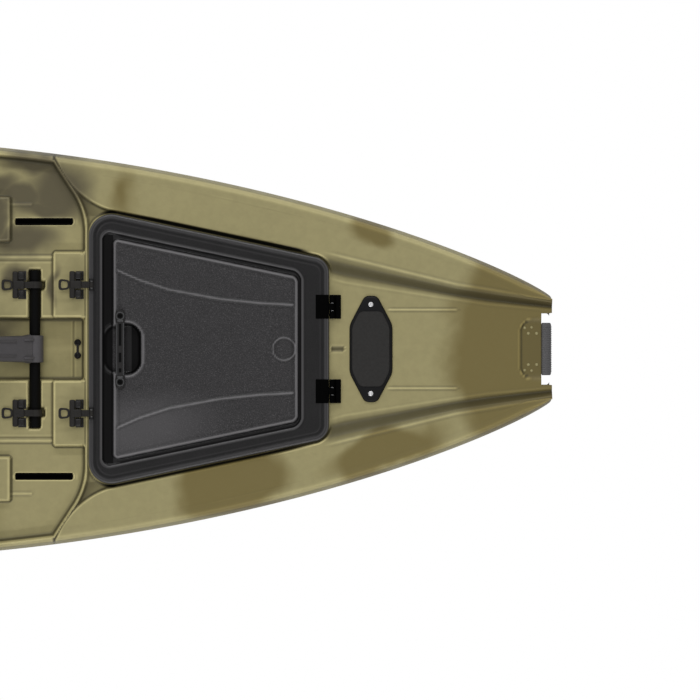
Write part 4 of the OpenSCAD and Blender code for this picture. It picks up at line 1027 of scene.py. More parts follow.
def deck_zone(zone, rows, holes):
    """One stretch of the deck: its top surface and its sides down to the seam."""
    grid = []
    for x in rows:
        ay = deck_columns(x, zone)
        z = deck_height(np.full_like(ay, x), ay)
        t = np.linspace(0, 1, 13)[1:]
        side_y = ay[-1] + DECK_ROUND - DECK_ROUND * (1 - t) ** 1.8
        side_z = z[-1] - (z[-1] - float(seam_at(x))) * (0.55 * t + 0.45 * t**1.5)
        grid.append(mirrored(x, np.concatenate([ay, side_y]), np.concatenate([z, side_z])))
    grid = np.array(grid)
    mid = between(grid)
    keep = ~holes(mid[..., 0], np.abs(mid[..., 1]))
    return [tuple(p) for p in grid.reshape(-1, 3)], grid_faces(*grid.shape[:2], keep), grid


def end_faces(row, x, inner, verts, faces):
    """Closes the two halves of a zone's end row, from inner outward and down to the seam."""
    for side in (-1, 1):
        ring = [tuple(p) for p in row if side * p[1] >= inner - 1e-3]
        low = (x, side * inner, float(seam_at(x)))
        loop = ring + [low] if side > 0 else [low] + ring
        faces.append([len(verts) + i for i in range(len(loop))])
        verts += loop


def bow_walls(grid, verts, faces, steps=6):
    """Inner faces of the two horns and the faces at the bow's very end."""
    rows = [i for i in range(len(grid)) if grid[i, 0, 0] >= NOTCH_X - 1e-6]
    first = grid[rows[0]]
    for side in (-1, 1):
        col = int(np.argmin(np.abs(first[:, 1] - side * HORN_INNER)))
        faces += grid_faces(steps + 1, len(rows), None, len(verts))
        for k in range(steps + 1):
            for x, _, z in grid[rows, col]:
                verts.append((x, side * HORN_INNER, z + (seam_at(x) - z) * k / steps))
    back = [p for p in first if abs(p[1]) <= HORN_INNER + 1e-3]
    faces += grid_faces(steps + 1, len(back), None, len(verts))
    for k in range(steps + 1):
        verts += [(NOTCH_X, y, z + (NOTCH_TOP - z) * k / steps) for _, y, z in back]
    end_faces(grid[-1], BOW_X, HORN_INNER, verts, faces)


def deck_piece(name, verts, faces):
    obj = new_piece(name, verts, faces, FINISH["hull_plastic"])
    settle(add_edges(obj, deck_height), "hull", "deck_shell")


class KAYAK_OT_deck(bpy.types.Operator):
    """Foredeck, console, trays, footwell and tank well as one moulded skin"""

    bl_idname = "kayak.deck"
    bl_label = "Deck"

    def execute(self, context):
        rows = chain([330, 398, 417, 428, 458, 486, 513, 557, 572, 582, 600, 1110, 1140, 1533, 1540, NOTCH_X,
                      1586, BOW_X], [10, 6, 4, 9, 11, 10, 18, 7, 7, 8, 100, 10, 60, 5, 10, 4, 8])
        verts, faces, grid = deck_zone("bow", rows, lambda x, ay: (
            (inside_lid(x, ay) > RIM) | ((x > NOTCH_X) & (ay < HORN_INNER - 0.01))))
        bow_walls(grid, verts, faces)
        deck_piece("deck_bow", verts, faces)

        rows = chain([COCKPIT_AFT_X, -840, -361, SLOT[0], SLOT[1], 81, 300, CONSOLE_X],
                     [12, 44, 3, 40, 3, 22, 12])
        verts, faces, _ = deck_zone("cockpit", rows, lambda x, ay: (
            (x > SLOT[0]) & (x < SLOT[1]) & (ay < SLOT[2])))
        deck_piece("deck_cockpit", verts, faces)

        rows = chain([STERN_X, -1548, TRANSOM_X, -1415, -1385, -1025, -995, -970, -920, COCKPIT_AFT_X],
                     [6, 3, 14, 8, 36, 8, 4, 8, 5])
        verts, faces, grid = deck_zone("stern", rows, lambda x, ay: (
            ((x < TRANSOM_X) & (ay < TRANSOM_HALF)) | (np.hypot(x - HOLDER_X, ay - HOLDER_Y) < HOLDER_HOLE)))
        end_faces(grid[0], STERN_X, TRANSOM_HALF, verts, faces)
        deck_piece("deck_stern", verts, faces)
        self.hatch_ring()
        self.slot_trunk()
        return {"FINISHED"}

    def hatch_ring(self):
        """The hatch's coaming: a rounded lip that stands round the opening."""
        levels = ((19, 349), (20, 356), (21.5, 357.6), (25, 357.8), (27, 356), (27.4, 345), (28, 322),
                  (25, 321), (24, 343))
        ring = Shape().rings(stacked(lid_outline, levels), False)
        ring.piece("hatch_coaming", "hull_plastic", smooth_over=70)

    def slot_trunk(self):
        """The drive slot's liner between the floor and the bottom."""
        def outline(grow):
            x0, x1, y = SLOT[0] - grow, SLOT[1] + grow, SLOT[2] + grow
            return round_outline([(x0, -y), (x1, -y), (x1, y), (x0, y)], 3, 3)

        levels = ((0.0, 0.6), (0, 104), (0.6, 108), (2, 109.6), (4.6, 109.6), (6, 108), (6.4, 89))
        trunk = Shape().rings(stacked(outline, levels), False)
        trunk.piece("slot_trunk", "hull_plastic", smooth_over=50)


class KAYAK_OT_hull(bpy.types.Operator):
    """Bottom and topsides below the seam"""

    bl_idname = "kayak.hull"
    bl_label = "Hull"

    def execute(self, context):
        line = np.array([(0, 0), (0.17, 0), (0.25, 0.07), (0.38, 0.07), (0.48, 0), (0.70, 0.01),
                         (0.86, 0.13), (0.95, 0.42), (1, 1)], float)
        for _ in range(2):
            a, b = line[:-1], line[1:]
            cut = np.stack([0.75 * a + 0.25 * b, 0.25 * a + 0.75 * b], 1).reshape(-1, 2)
            line = np.vstack([line[:1], cut, line[-1:]])
        across, up = line[line[:, 0] > 0.05].T
        rows = chain([STERN_X, TRANSOM_X, -900, SLOT[0], SLOT[1], 900, NOTCH_X, BOW_X],
                     [4, 34, 30, 30, 40, 52, 8], 0.2)
        grid = []
        for x in rows:
            keel, top = keel_z(x), float(seam_at(x))
            fine = min(max((x - 700) / (BOW_X - 700), 0), 1) ** 1.4
            y = rounded_half(x) * across * (1 - 0.55 * fine * (1 - across))
            low = np.where(up < 0.1, 1.0, 0.2 * (1 - up))
            z = keel + (top - keel) * up * (1 - fine * low)
            inner = np.linspace(0, 1, 4) * min(50.0, y[0] * 0.98 * 0.9)
            grid.append(mirrored(x, np.concatenate([inner, y]), np.concatenate([np.full(4, keel), z])))
        grid = np.array(grid)
        notch = next(i for i, x in enumerate(rows) if x > NOTCH_X - 1e-6)
        cols = grid.shape[1]
        edge = int(np.argmin(np.abs(grid[notch, :, 1] - HORN_INNER)))
        for j in (edge, cols - 1 - edge):
            grid[notch:, j, 1] = math.copysign(HORN_INNER, grid[notch, j, 1])
        x, ay = between(grid)[..., 0], np.abs(between(grid)[..., 1])
        hole = (x > SLOT[0]) & (x < SLOT[1]) & (ay < SLOT[2])
        hole[notch:, cols - 1 - edge:edge] = True
        hole |= (x < TRANSOM_X) & (ay < 36)
        skin = new_piece("hull_bottom", grid.reshape(-1, 3), grid_faces(*grid.shape[:2], ~hole),
                         FINISH["hull_plastic"])
        settle(skin, "hull", "hull_shell")
        self.ends(grid)
        return {"FINISHED"}

    def ends(self, grid):
        """Transom with the rudder's recess, and the faces that close the bow."""
        shape = Shape()
        for side in (-1, 1):
            y = side * TRANSOM_HALF
            ring = [tuple(p) for p in grid[0][::side] if side * p[1] > TRANSOM_HALF]
            low = min(p[2] for p in ring)
            shape.face([(STERN_X, y, low), *ring, (STERN_X, y, ring[-1][2])])
            shape.face([(STERN_X, y, low), (STERN_X, y, 352), (TRANSOM_X, y, 352), (TRANSOM_X, y, low)])
        shape.face([(TRANSOM_X, y, z) for y, z in (
            (-TRANSOM_HALF, 98), (TRANSOM_HALF, 98), (TRANSOM_HALF, 352), (-TRANSOM_HALF, 352))])
        for side in (-1, 1):
            y = side * HORN_INNER
            ring = [tuple(p) for p in grid[-1][::side] if side * p[1] >= HORN_INNER - 0.01]
            shape.face([*ring, (BOW_X, y, ring[-1][2])])
            shape.face([(NOTCH_X, y, 190), (BOW_X, y, 198), (BOW_X, y, 306), (NOTCH_X, y, 304)])
        shape.face([(NOTCH_X, y, z) for y, z in (
            (-HORN_INNER, 185), (HORN_INNER, 185), (HORN_INNER, NOTCH_TOP), (-HORN_INNER, NOTCH_TOP))])
        shape.piece("hull_ends", "hull_plastic", smooth_over=20)


# Hatch lid
def lid_panel(x, ay, aft=0.0, beside=0.0, fore=0.0):
    """Distance inside the raised panel, or inside its outline grown by so much on each side."""
    x0, x1 = LID_PANEL_X
    side = (LID_PANEL_HALF - LID_PANEL_SLOPE * (x - x0) - ay) * LID_PANEL_LEAN + beside
    return round_corner(np.minimum(x - x0 + aft, x1 + fore - x), side, 16.0 + beside / 2)


def lid_pocket(x, ay):
    """Distance inside the finger pocket, square behind and round in front."""
    return np.maximum(inside_box(x, ay, 622, 690, -99, 54, 30), inside_box(x, ay, 640, 709, -99, 59, 36))


def lid_height(x, ay):
    s = bpy.context.scene.kayak_lid
    rise, groove, crease = s.panel_rise / MM, s.groove / MM, s.crease / MM
    d, p = inside_lid(x, ay), lid_panel(x, ay)
    out = lid_panel(x, ay, 23, 10, 6)
    z = LID_TOP - 5 + np.sqrt(np.maximum(25 - np.maximum(5 - d, 0) ** 2, 0))
    z = z + 0.9 * hump(d - 8, 3.2) - 0.7 * hump(d - 15, 2.6) + 0.8 * hump(out + 3, 2.6)
    z = z - (groove + 1.2) * wall(out - 2, 4) + (rise + groove + 1.2) * wall(p - 2.5, 6)
    z = z + (hump(p - 7, 3.0) - 0.4 * hump(p - 15, 4.0)) * smooth((x - 651) / 12)
    z = z + 1.6 * smooth((p - 12) / 90)
    line = np.interp(x, [643, 655, 703, 768, 877, 964, 1038, 1060], [176, 171, 150, 129, 109, 100, 96, 95])
    dip = hump(ay - line, 3.0) - 0.6 * wall(line - 4 - ay, 10)
    z = z + crease * dip * wall(p - 12, 10) * (x < 1042)
    z = z + 1.5 * hump(np.hypot(x - DIMPLE_X, ay) - 24.5, 2.8)
    pocket = lid_pocket(x, ay)
    floor = POCKET_Z + 8 * np.clip((660 - x) / 34, 0, 1)
    z = z + (floor - z) * wall(pocket - 4, 9)
    return z + 0.5 * hump(pocket + 4, 3.4)


class KAYAK_OT_hatch_lid(bpy.types.Operator):
    """Hatch lid with its rim, groove, raised panel, creases and finger pocket"""

    bl_idname = "kayak.hatch_lid"
    bl_label = "Hatch lid"

    def execute(self, context):
        rows = chain([591, 596, 641, 660, 1040, 1066, 1110, 1115], [10, 26, 12, 90, 14, 18, 8], 0.35)
        port = chain([0, 0.2, 0.78, 1.0], [24, 60, 34])
        u = np.concatenate([-port[:0:-1], port])
        edge = sorted((p for p in lid_outline(0.0, 40) if p[1] >= 0), key=lambda p: p[0])
        grid = []
        for x in rows:
            y = u * float(np.interp(x, *zip(*edge)))
            grid.append(np.column_stack([np.full_like(y, x), y, lid_height(np.full_like(y, x), np.abs(y))]))
        grid = np.array(grid)
        lid = new_piece("lid_skin", grid.reshape(-1, 3), grid_faces(*grid.shape[:2]), FINISH["lid_plastic"])
        lid.data.materials.append(FINISH["lid_rim"])
        lid.data.materials.append(FINISH["lid_shade"])
        middle = np.empty(len(lid.data.polygons) * 3)
        lid.data.polygons.foreach_get("center", middle)
        x, y, _ = middle.reshape(-1, 3).T / MM
        ay = np.abs(y)
        # Outside the panel faces take the darker rim finish, which in the groove is painted shade; the aft
        # groove takes the near-black finish as painted shade. In the pocket the fore part takes the
        # near-black finish and the middle the rim finish, as painted shade.
        rim = np.where((x < 645) & (lid_panel(x, ay, 23, 4, 6) > 0), 2, 1)
        pocket = np.where(x > 684, 2, 1) * ((lid_pocket(x, ay) > 1) & (x > 652))
        finish = np.where(lid_panel(x, ay) < 0.5, rim, pocket)
        lid.data.polygons.foreach_set("material_index", finish.astype(np.int32))
        add_edges(lid, lid_height, 3.2, 0.7)
        settle(lid, "hatch_lid", "hatch_lid")
        self.under()
        return {"FINISHED"}

    def under(self):
        """Skirt, underside, hinge arms and the ears that hold the latch pins."""
        skirt = ((0.4, LID_TOP - 5), (0.0, LID_TOP - 8), (0.0, 351.5), (1, 350.6), (4.5, 350.6), (5.6, 351.6),
                 (6, 357.4), (LID_FLAT, LID_UNDER))
        shape = Shape().rings(stacked(lid_outline, skirt), False)
        edge = [p for p in lid_outline(LID_FLAT) if p[1] > 0]
        aft, fore, half = CUP
        cup = [(aft, -half), (fore, -half), (fore, half), (aft, half)]
        around = [(LID_X[1] - LID_FLAT, 0), (fore, 0), *cup[2:], (aft, 0), (LID_X[0] + LID_FLAT, 0)]
        for side in (-1, 1):
            shape.face([(x, side * y, LID_UNDER) for x, y in edge + around])
        shape.rings([[(x, y, z) for x, y in cup] for z in (LID_UNDER, CUP_Z)], False)
        shape.face([(x, y, CUP_Z) for x, y in cup])
        for y in (side * LATCH_Y + s * 10.5 for side in (-1, 1) for s in (-1, 1)):
            shape.block((LATCH_PIN_X - 5, y - 2.5, 362), (LATCH_PIN_X + 5, y + 2.5, 372))
            ends = ((LATCH_PIN_X, y + s, LATCH_PIN_Z) for s in (-2.5, 2.5))
            shape.rod(*ends, 5, 0.6)
        shape.piece("lid_under", "lid_rim", smooth_over=40, body="hatch_lid", slot="lid_plastic")
        plates = Shape()
        for y in (-HINGE_Y, HINGE_Y):
            plates.block((1086, y - 26, 364.5), (1114, y + 26, 368.6), 1.4, segments=3)
            plates.block((1110, y - 7.6, 357), (HINGE_X, y + 7.6, 367.6))
            plates.rod((HINGE_X, y - 7.6, HINGE_Z), (HINGE_X, y + 7.6, HINGE_Z), 6, 0.5)
        plates.piece("lid_hinge_plates", "hinge_black", body="hatch_lid", slot="lid_plastic")


def pan_screw(shape, at, r, h, axis=(0, 0, 1)):
    """A domed screw head with a cross recess, standing on a point."""
    turn = Vector((0, 0, 1)).rotation_difference(Vector(axis)).to_matrix().to_4x4()
    arc = [t * math.pi / 2 for t in shares(8)]
    dome = [(r * max(math.cos(a), 0.04), h * (0.25 + 0.75 * math.sin(a))) for a in arc]
    loops = stacked(lambda radius: circle(radius, 28), [(r, 0), *dome])
    for loop in loops:
        for i, (x, y, z) in enumerate(loop):
            near, far = sorted((abs(x), abs(y)))
            if z > h * 0.55 and near < r * 0.13 and far < r * 0.6:
                loop[i] = (x, y, z - h * 0.5)
    shape.rings(loops, True, Matrix.Translation(at) @ turn)


STRAP_X = 660.5
STRAP_Z = 372.0


def strap_lift(y):
    """How far the lid handle's strap arches at y."""
    return 0.0 if abs(y) > 60 else 2.2 * math.cos(abs(y) / 60 * math.pi / 2)


class KAYAK_OT_lid_handle(bpy.types.Operator):
    """Strap handle over the finger pocket, with its two screws"""

    bl_idname = "kayak.lid_handle"
    bl_label = "Lid handle"

    def execute(self, context):
        section = [(-1, 0), (-1, 0.55), (-0.8, 0.86), (-0.4, 1), (0, 1.03), (0.4, 1), (0.8, 0.86), (1, 0.55),
                   (1, 0)]
        loops = []
        for y in (-88 + 176 * t for t in shares(40)):
            a = abs(y)
            half = 9.4 + 1.6 * math.exp(-((a - 70) / 10) ** 2)
            half -= 0.9 * math.cos(y / 6.4 * 2 * math.pi) * (a < 56)
            half *= math.sqrt(max(0.02, 1 - max(0, (a - 80) / 8) ** 2))
            low = STRAP_Z + 0.3 + strap_lift(y)
            loops.append([(STRAP_X + half * u, y, low + 4.6 * v) for u, v in section])
        strap = Shape().rings(loops)
        strap.piece("lid_handle_strap", "black_plastic", "lid_handle", 50, body="hatch_lid")
        self.trim()
        screws = Shape()
        for y in (-72, 72):
            pan_screw(screws, (STRAP_X, y, STRAP_Z + 4.6), 5.5, 2.6)
            screws.rod((STRAP_X, y, 361), (STRAP_X, y, STRAP_Z + 4.8), 3)
        screws.piece("lid_handle_screw_heads", "tube_black", "lid_handle_screws", 40, body="hatch_lid",
                     slot="stainless")
        return {"FINISHED"}

    def trim(self):
        """Lighter edge strips, end rings and bars as painted sheen on the strap, and dark strips along its
        back as painted shade of a groove.
        """
        # Painted sheen: lighter strips along the strap's edges, rings round the screws and bars.
        edges = Shape()
        ring = circle(8.2, 24)
        for s in (-1, 1):
            ys = [-57 + 6 * i for i in range(20)]
            edges.tube([(STRAP_X + s * 7.2, y, STRAP_Z + 4.1 + strap_lift(y)) for y in ys], 1.4)
            edges.tube([(STRAP_X + x, s * 72 + y, STRAP_Z + 4.1) for x, y in ring + ring[:1]], 1.3)
            edges.block((STRAP_X - 6.5, s * 61 - 2, STRAP_Z + 2), (STRAP_X + 6.5, s * 61 + 2, STRAP_Z + 5.7))
        edges.piece("lid_handle_edges", "handle_edge", smooth_over=50, body="hatch_lid",
                    slot="black_plastic")
        # Painted shade: dark strips laid on the strap's back stand for the shade in its groove.
        groove = Shape()
        for y0, y1 in ((7, 55), (-29, -8), (-51, -42)):
            loops = []
            for y in (y0 + (y1 - y0) * t for t in shares(8)):
                top = STRAP_Z + 5.2 + strap_lift(y)
                corners = ((-2.8, top - 2), (2.8, top - 2), (2.8, top), (-2.8, top))
                loops.append([(STRAP_X + x, y, z) for x, z in corners])
            groove.rings(loops)
        groove.piece("lid_handle_groove_shade", "tube_black", body="hatch_lid", slot="black_plastic")


def strap_latch(name, node, pin, low, wrap_r, bar_low):
    """A rubber pull strap: eye round its pin, ribbed tongue, cross bar and finger loop."""
    shape = Shape()
    at = Matrix.Translation(pin)
    inner = wrap_r - 4.4 if wrap_r > 8 else 2.6
    eye = ((wrap_r, -7.2), (wrap_r, 7.2), (inner, 7.2), (inner, -7.2), (wrap_r, -7.2))
    shape.rings([[(x, y, z) for x, z in circle(r, 28)] for r, y in eye], False, at)
    shape.block((-40, -7.2, low), (-2, 7.2, low + 4.5), 1.4, at, 3)
    for x in (-31 + 5.2 * k for k in range(5)):
        shape.block((x, -6.4, low + 3.6), (x + 2.4, 6.4, low + 5.2), 0.6, at)
    shape.block((-48, -29.5, bar_low), (-36, 29.5, low + 7.5), 3.2, at, 4)
    shape.block((-46, -9, low + 4), (-22, 9, low + 8.6), 2.4, at, 3)
    outer = round_outline([(-72, -13), (-47, -10), (-47, 10), (-72, 13)], 9, 6)
    inner = round_outline([(-66.5, -8), (-52, -6.5), (-52, 6.5), (-66.5, 8)], 5, 6)
    z0, z1 = low + 0.2, low + 4.6
    rings = ((outer, 1, 1, z0), (outer, 1, 1, z1 - 1), (outer, 0.97, 0.94, z1), (inner, 1.04, 1.08, z1),
             (inner, 1, 1, z1 - 1), (inner, 1, 1, z0), (outer, 1, 1, z0))
    shape.rings([[(-59 + (u + 59) * ku, v * kv, z) for u, v in line] for line, ku, kv, z in rings], False, at)
    shape.piece(name, "latch_rubber", node, 40, body=node)


class KAYAK_OT_latches(bpy.types.Operator):
    """Four rubber strap latches and their keepers"""

    bl_idname = "kayak.latches"
    bl_label = "Latches"

    def execute(self, context):
        for word, y in (("left", LATCH_Y), ("right", -LATCH_Y)):
            lid, tube = "lid_latch_" + word, "drive_latch_" + word
            strap_latch("hatch_strap_" + word, lid, (LATCH_PIN_X, y, LATCH_PIN_Z), -4.4, 4.7, -14)
            strap_latch("tube_strap_" + word, tube, (PIVOT[0], y, PIVOT[1]), 12.5, 16.6, 13.5)
        shape = Shape()
        for middle in (-LATCH_Y, LATCH_Y):
            for x, low, high in ((LATCH_PIN_X, 345, 371.1), (PIVOT[0], 330, 335.0)):
                for s in (-1, 1):
                    y0, y1 = sorted((middle + s * 11, middle + s * 29))
                    y = middle + s * 21
                    shape.block((x - 36.5, y0, low), (x - 21.5, y1, high + 2.4), 4.2, segments=4)
                    shape.block((x - 35.6, y0 - 2, low), (x - 18, y1 + 1, low + 2.4), 0.8)
                    shape.rod((x - 28.4, y, high + 1), (x - 28.4, y, high + 3.6), 4.2, 0.8)
        shape.piece("keeper_ears", "black_plastic", "latch_keepers", 40)
        return {"FINISHED"}


# Fittings
def octagon(half_x, half_y, end_half, shoulder, radius):
    quarter = [(half_x, shoulder), (end_half, half_y)]
    port = quarter + [(-x, y) for x, y in quarter[::-1]]
    return round_outline(port + [(-x, -y) for x, y in port], radius, 5)


class KAYAK_OT_deck_fittings(bpy.types.Operator):
    """Accessory plate, hinges, eyelet, tracks, handles, rod holders and plug"""

    bl_idname = "kayak.deck_fittings"
    bl_label = "Deck fittings"

    def execute(self, context):
        self.plate()
        self.hinges()
        eye = Shape().block((EYELET_X - 2.5, -10, 285.2), (EYELET_X + 2.5, 10, 288))
        for y in (-14, 14):
            eye.lathe(((7.5, 285.2), (7.5, 288.4), (6.6, 289.8), (4.8, 290.2), (3.4, 289), (3.1, 286)), 28,
                      centre=(EYELET_X, y))
        eye.piece("eyelet", "black_plastic", "deck_eyelet", 50)
        self.tracks()
        self.carry_handles()
        self.holders()
        self.plug()
        return {"FINISHED"}

    def plate(self):
        """Accessory plate, its pad and its two screws, level with the foredeck's slope."""
        place = Matrix.Translation((PLATE_X, 0, float(panel_z(PLATE_X))))
        at = place @ Matrix.Rotation(-math.atan(PANEL_RISE), 4, "Y")
        plate = Shape().rings(stacked(
            lambda grow: octagon(45.8 + grow, 115 + grow, 13 + grow * 0.5, 52 + grow * 0.4, 10),
            ((1.2, 0.3), (1.2, 2.0), (0.6, 4.4), (-1.0, 6.4), (-3.0, 7.2), (-6, 7.4))), True, at)
        plate.piece("mount_plate", "plate_black", "accessory_plate", 45, slot="black_plastic")
        pad = Shape().rings(stacked(
            lambda grow: octagon(40.8 + grow, 82 + grow, 24 + grow * 0.4, 48 + grow * 0.3, 9),
            ((0, 7.2), (0, 9.0), (-0.7, 9.9), (-2.5, 10.2))), True, at)
        pad.piece("mount_plate_pad", "eva_pad", "plate_pad", 45)
        screws = Shape()
        for y in (-97, 97):
            pan_screw(screws, at @ Vector((0, y, 7.3)), 5.5, 2.8)
            screws.rod(at @ Vector((0, y, -12)), at @ Vector((0, y, 7.5)), 3)
        screws.piece("mount_plate_screws", "stainless", "plate_screws", 40)

    def hinges(self):
        shape = Shape()
        for y in (-HINGE_Y, HINGE_Y):
            for c in (y - 17.3, y + 17.3):
                shape.rod((HINGE_X, c - 8.6, HINGE_Z), (HINGE_X, c + 8.6, HINGE_Z), 6, 0.6)
                shape.block((1117, c - 8.6, 350.2), (1128, c + 8.6, HINGE_Z))
            shape.block((1117, y - 26, 350.2), (1141, y + 26, 355.6), 1.6, segments=3)
            shape.block((1129, y - 26, 351), (1139.6, y + 26, 361.0), 2.4, segments=3)
        shape.piece("hinge_bases", "hinge_black", "lid_hinge_leaves", 40, slot="black_plastic")

    def tracks(self):
        shape = Shape()
        x0, x1 = TRACK_X
        for y in (-TRACK_Y, TRACK_Y):
            shape.block((x0, y - 9, 314), (x1, y + 9, 317.5), 0.4)
            for s in (-1, 1):
                shape.block((x0, y + s * 7.6 - 1.4, 315), (x1, y + s * 7.6 + 1.4, 325.2), 0.4)
                shape.block((x0, y + s * 6.2 - 2.7, 321.6), (x1, y + s * 6.2 + 2.7, 325.4), 0.5)
            for x in (x0 + 2, x1 - 2):
                shape.block((x - 2, y - 9, 315), (x + 2, y + 9, 325.4), 0.5)
        shape.piece("t_tracks", "hinge_black", "gear_tracks", 35, slot="black_plastic")

    def carry_handles(self):
        """Side handles with their bolts, and the rivets beside the bow handle."""
        shape, bolts, rivets = Shape(), Shape(), Shape()
        for side in (-1, 1):
            slope = float(plan_half(HANDLE_X + HANDLE_HALF) - plan_half(HANDLE_X - HANDLE_HALF))
            turn = Matrix.Rotation(math.atan(slope / 2 / HANDLE_HALF) * side, 4, "Z")
            at = Matrix.Translation((HANDLE_X, side * float(plan_half(HANDLE_X)), HANDLE_Z)) @ turn
            grip = [(HANDLE_HALF * u, side * (22 + 1.5 * math.cos(u * math.pi / 2)), 0)
                    for u in (2 * t - 1 for t in shares(32))]
            shape.tube(grip, lambda t: 8.4 - 1.2 * abs(2 * t - 1) ** 3, 20, at)
            for x in (-HANDLE_HALF, HANDLE_HALF):
                low, high = sorted((side * 0.4, side * 24))
                shape.block((x - 9, low, -9), (x + 9, high, 9), 3.0, at, 3)
                pan_screw(bolts, at @ Vector((x, side * 24.5, 0)), 6, 3.4, (0, side, 0))
                bolts.rod(at @ Vector((x, side * -14, 0)), at @ Vector((x, side * 24, 0)), 3)
            for x in (-28 + 7 * k for k in range(9)):
                ends = (at @ Vector((x + s, side * 23.2, 0)) for s in (-1, 1))
                shape.rod(*ends, 8.9, 0.4, sides=24)
            for x, y, r in ((1549, 34, 3.6), (1567, 34, 3.6), (1541, 46, 3.2), (1556, 47, 3.2)):
                arc = (t * math.pi / 2 * 0.97 for t in shares(6))
                dome = [(r * math.cos(a), 369.8 + 2.6 * math.sin(a)) for a in arc]
                rivets.lathe(dome, 24, centre=(x, side * y))
                rivets.rod((x, side * y, 352), (x, side * y, 370), r * 0.7)
        shape.piece("carry_handles", "black_plastic", "side_handles", 45)
        rivets.piece("bow_rivets", "rivet_khaki", "handle_bolts", 40, slot="stainless")
        bolts.piece("handle_bolt_heads", "stainless", "handle_bolts", 40)

    def holders(self):
        shape = Shape()
        for y in (-HOLDER_Y, HOLDER_Y):
            at = Matrix.Translation((HOLDER_X, y, DECK_Z)) @ Matrix.Rotation(-math.radians(20), 4, "Y")
            shape.lathe(((23.5, -230), (24.4, -226), (24.4, 8), (31, 11.6), (31.6, 13), (31.6, 15.4),
                         (30, 17), (23.4, 17.2), (21.6, 15.4), (21.5, -222), (2, -226)), 40, at)
        shape.piece("rod_tubes", "black_plastic", "rod_holders", 45)

    def plug(self):
        at = Matrix.Translation((STERN_X, PLUG_Y, PLUG_Z)) @ Matrix.Rotation(math.pi / 2, 4, "Y")
        shape = Shape().rod((0, 0, 2), (0, 0, 32), 13.6, 0.8, at=at)

        def scalloped(r):
            grip = [1 + 0.5 * math.cos(k * math.pi / 3) / r for k in range(72)]
            return [(x * k, y * k) for k, (x, y) in zip(grip, circle(r, 72))]

        shape.rings(stacked(scalloped, ((19, -0.4), (19, -4), (17.6, -5.6), (14, -5.9))), True, at)
        shape.block((-3, -11, -11), (3, 11, -5), 1.4, at, 3)
        shape.piece("drain_plug_head", "black_plastic", "drain_plug", 45, body="drain_plug")


class KAYAK_OT_bow_handle(bpy.types.Operator):
    """Moulded grip across the bow notch"""

    bl_idname = "kayak.bow_handle"
    bl_label = "Bow handle"

    def execute(self, context):
        loops = []
        for y in (GRIP_HALF * (2 * t - 1) for t in shares(240)):
            past = max(0, (abs(y) - GRIP_HALF + 6) / 6)
            shrink = 1 - math.sqrt(max(0.05, 1 - past**2))
            rib = 1.3 * (0.5 + 0.5 * math.cos(y / GRIP_RIB * 2 * math.pi)) if past == 0 else 0.0
            x0, x1 = 1577.4 + 2 * shrink, 1599.6 - 1.2 + rib * 0.9 - 3 * shrink
            z0, z1 = 346 + 2 * shrink, 372.6 + rib - 3 * shrink
            c = 4.0
            loops.append([(x, y, z) for x, z in (
                (x0, z0 + c), (x0, z1 - c), (x0 + c * 0.4, z1 - c * 0.4), (x0 + c, z1), (x1 - c, z1),
                (x1 - c * 0.4, z1 - c * 0.4), (x1, z1 - c), (x1, z0 + c), (x1 - c, z0), (x0 + c, z0))])
        shape = Shape().rings(loops)
        shape.block((1538, -50, 351), (1579, 50, 361))
        shape.piece("bow_grip", "bow_grip", "bow_handle", 50, slot="grey_plastic")
        return {"FINISHED"}


def bar_section(w, d, flat):
    """Half sizes w and d, with the corners cut off from flat outward."""
    return [(w * u, d * v) for u, v in ((1, -0.5), (1, 0.5), (flat, 1), (-flat, 1), (-1, 0.5), (-1, -0.5),
                                        (-flat, -1), (flat, -1))]


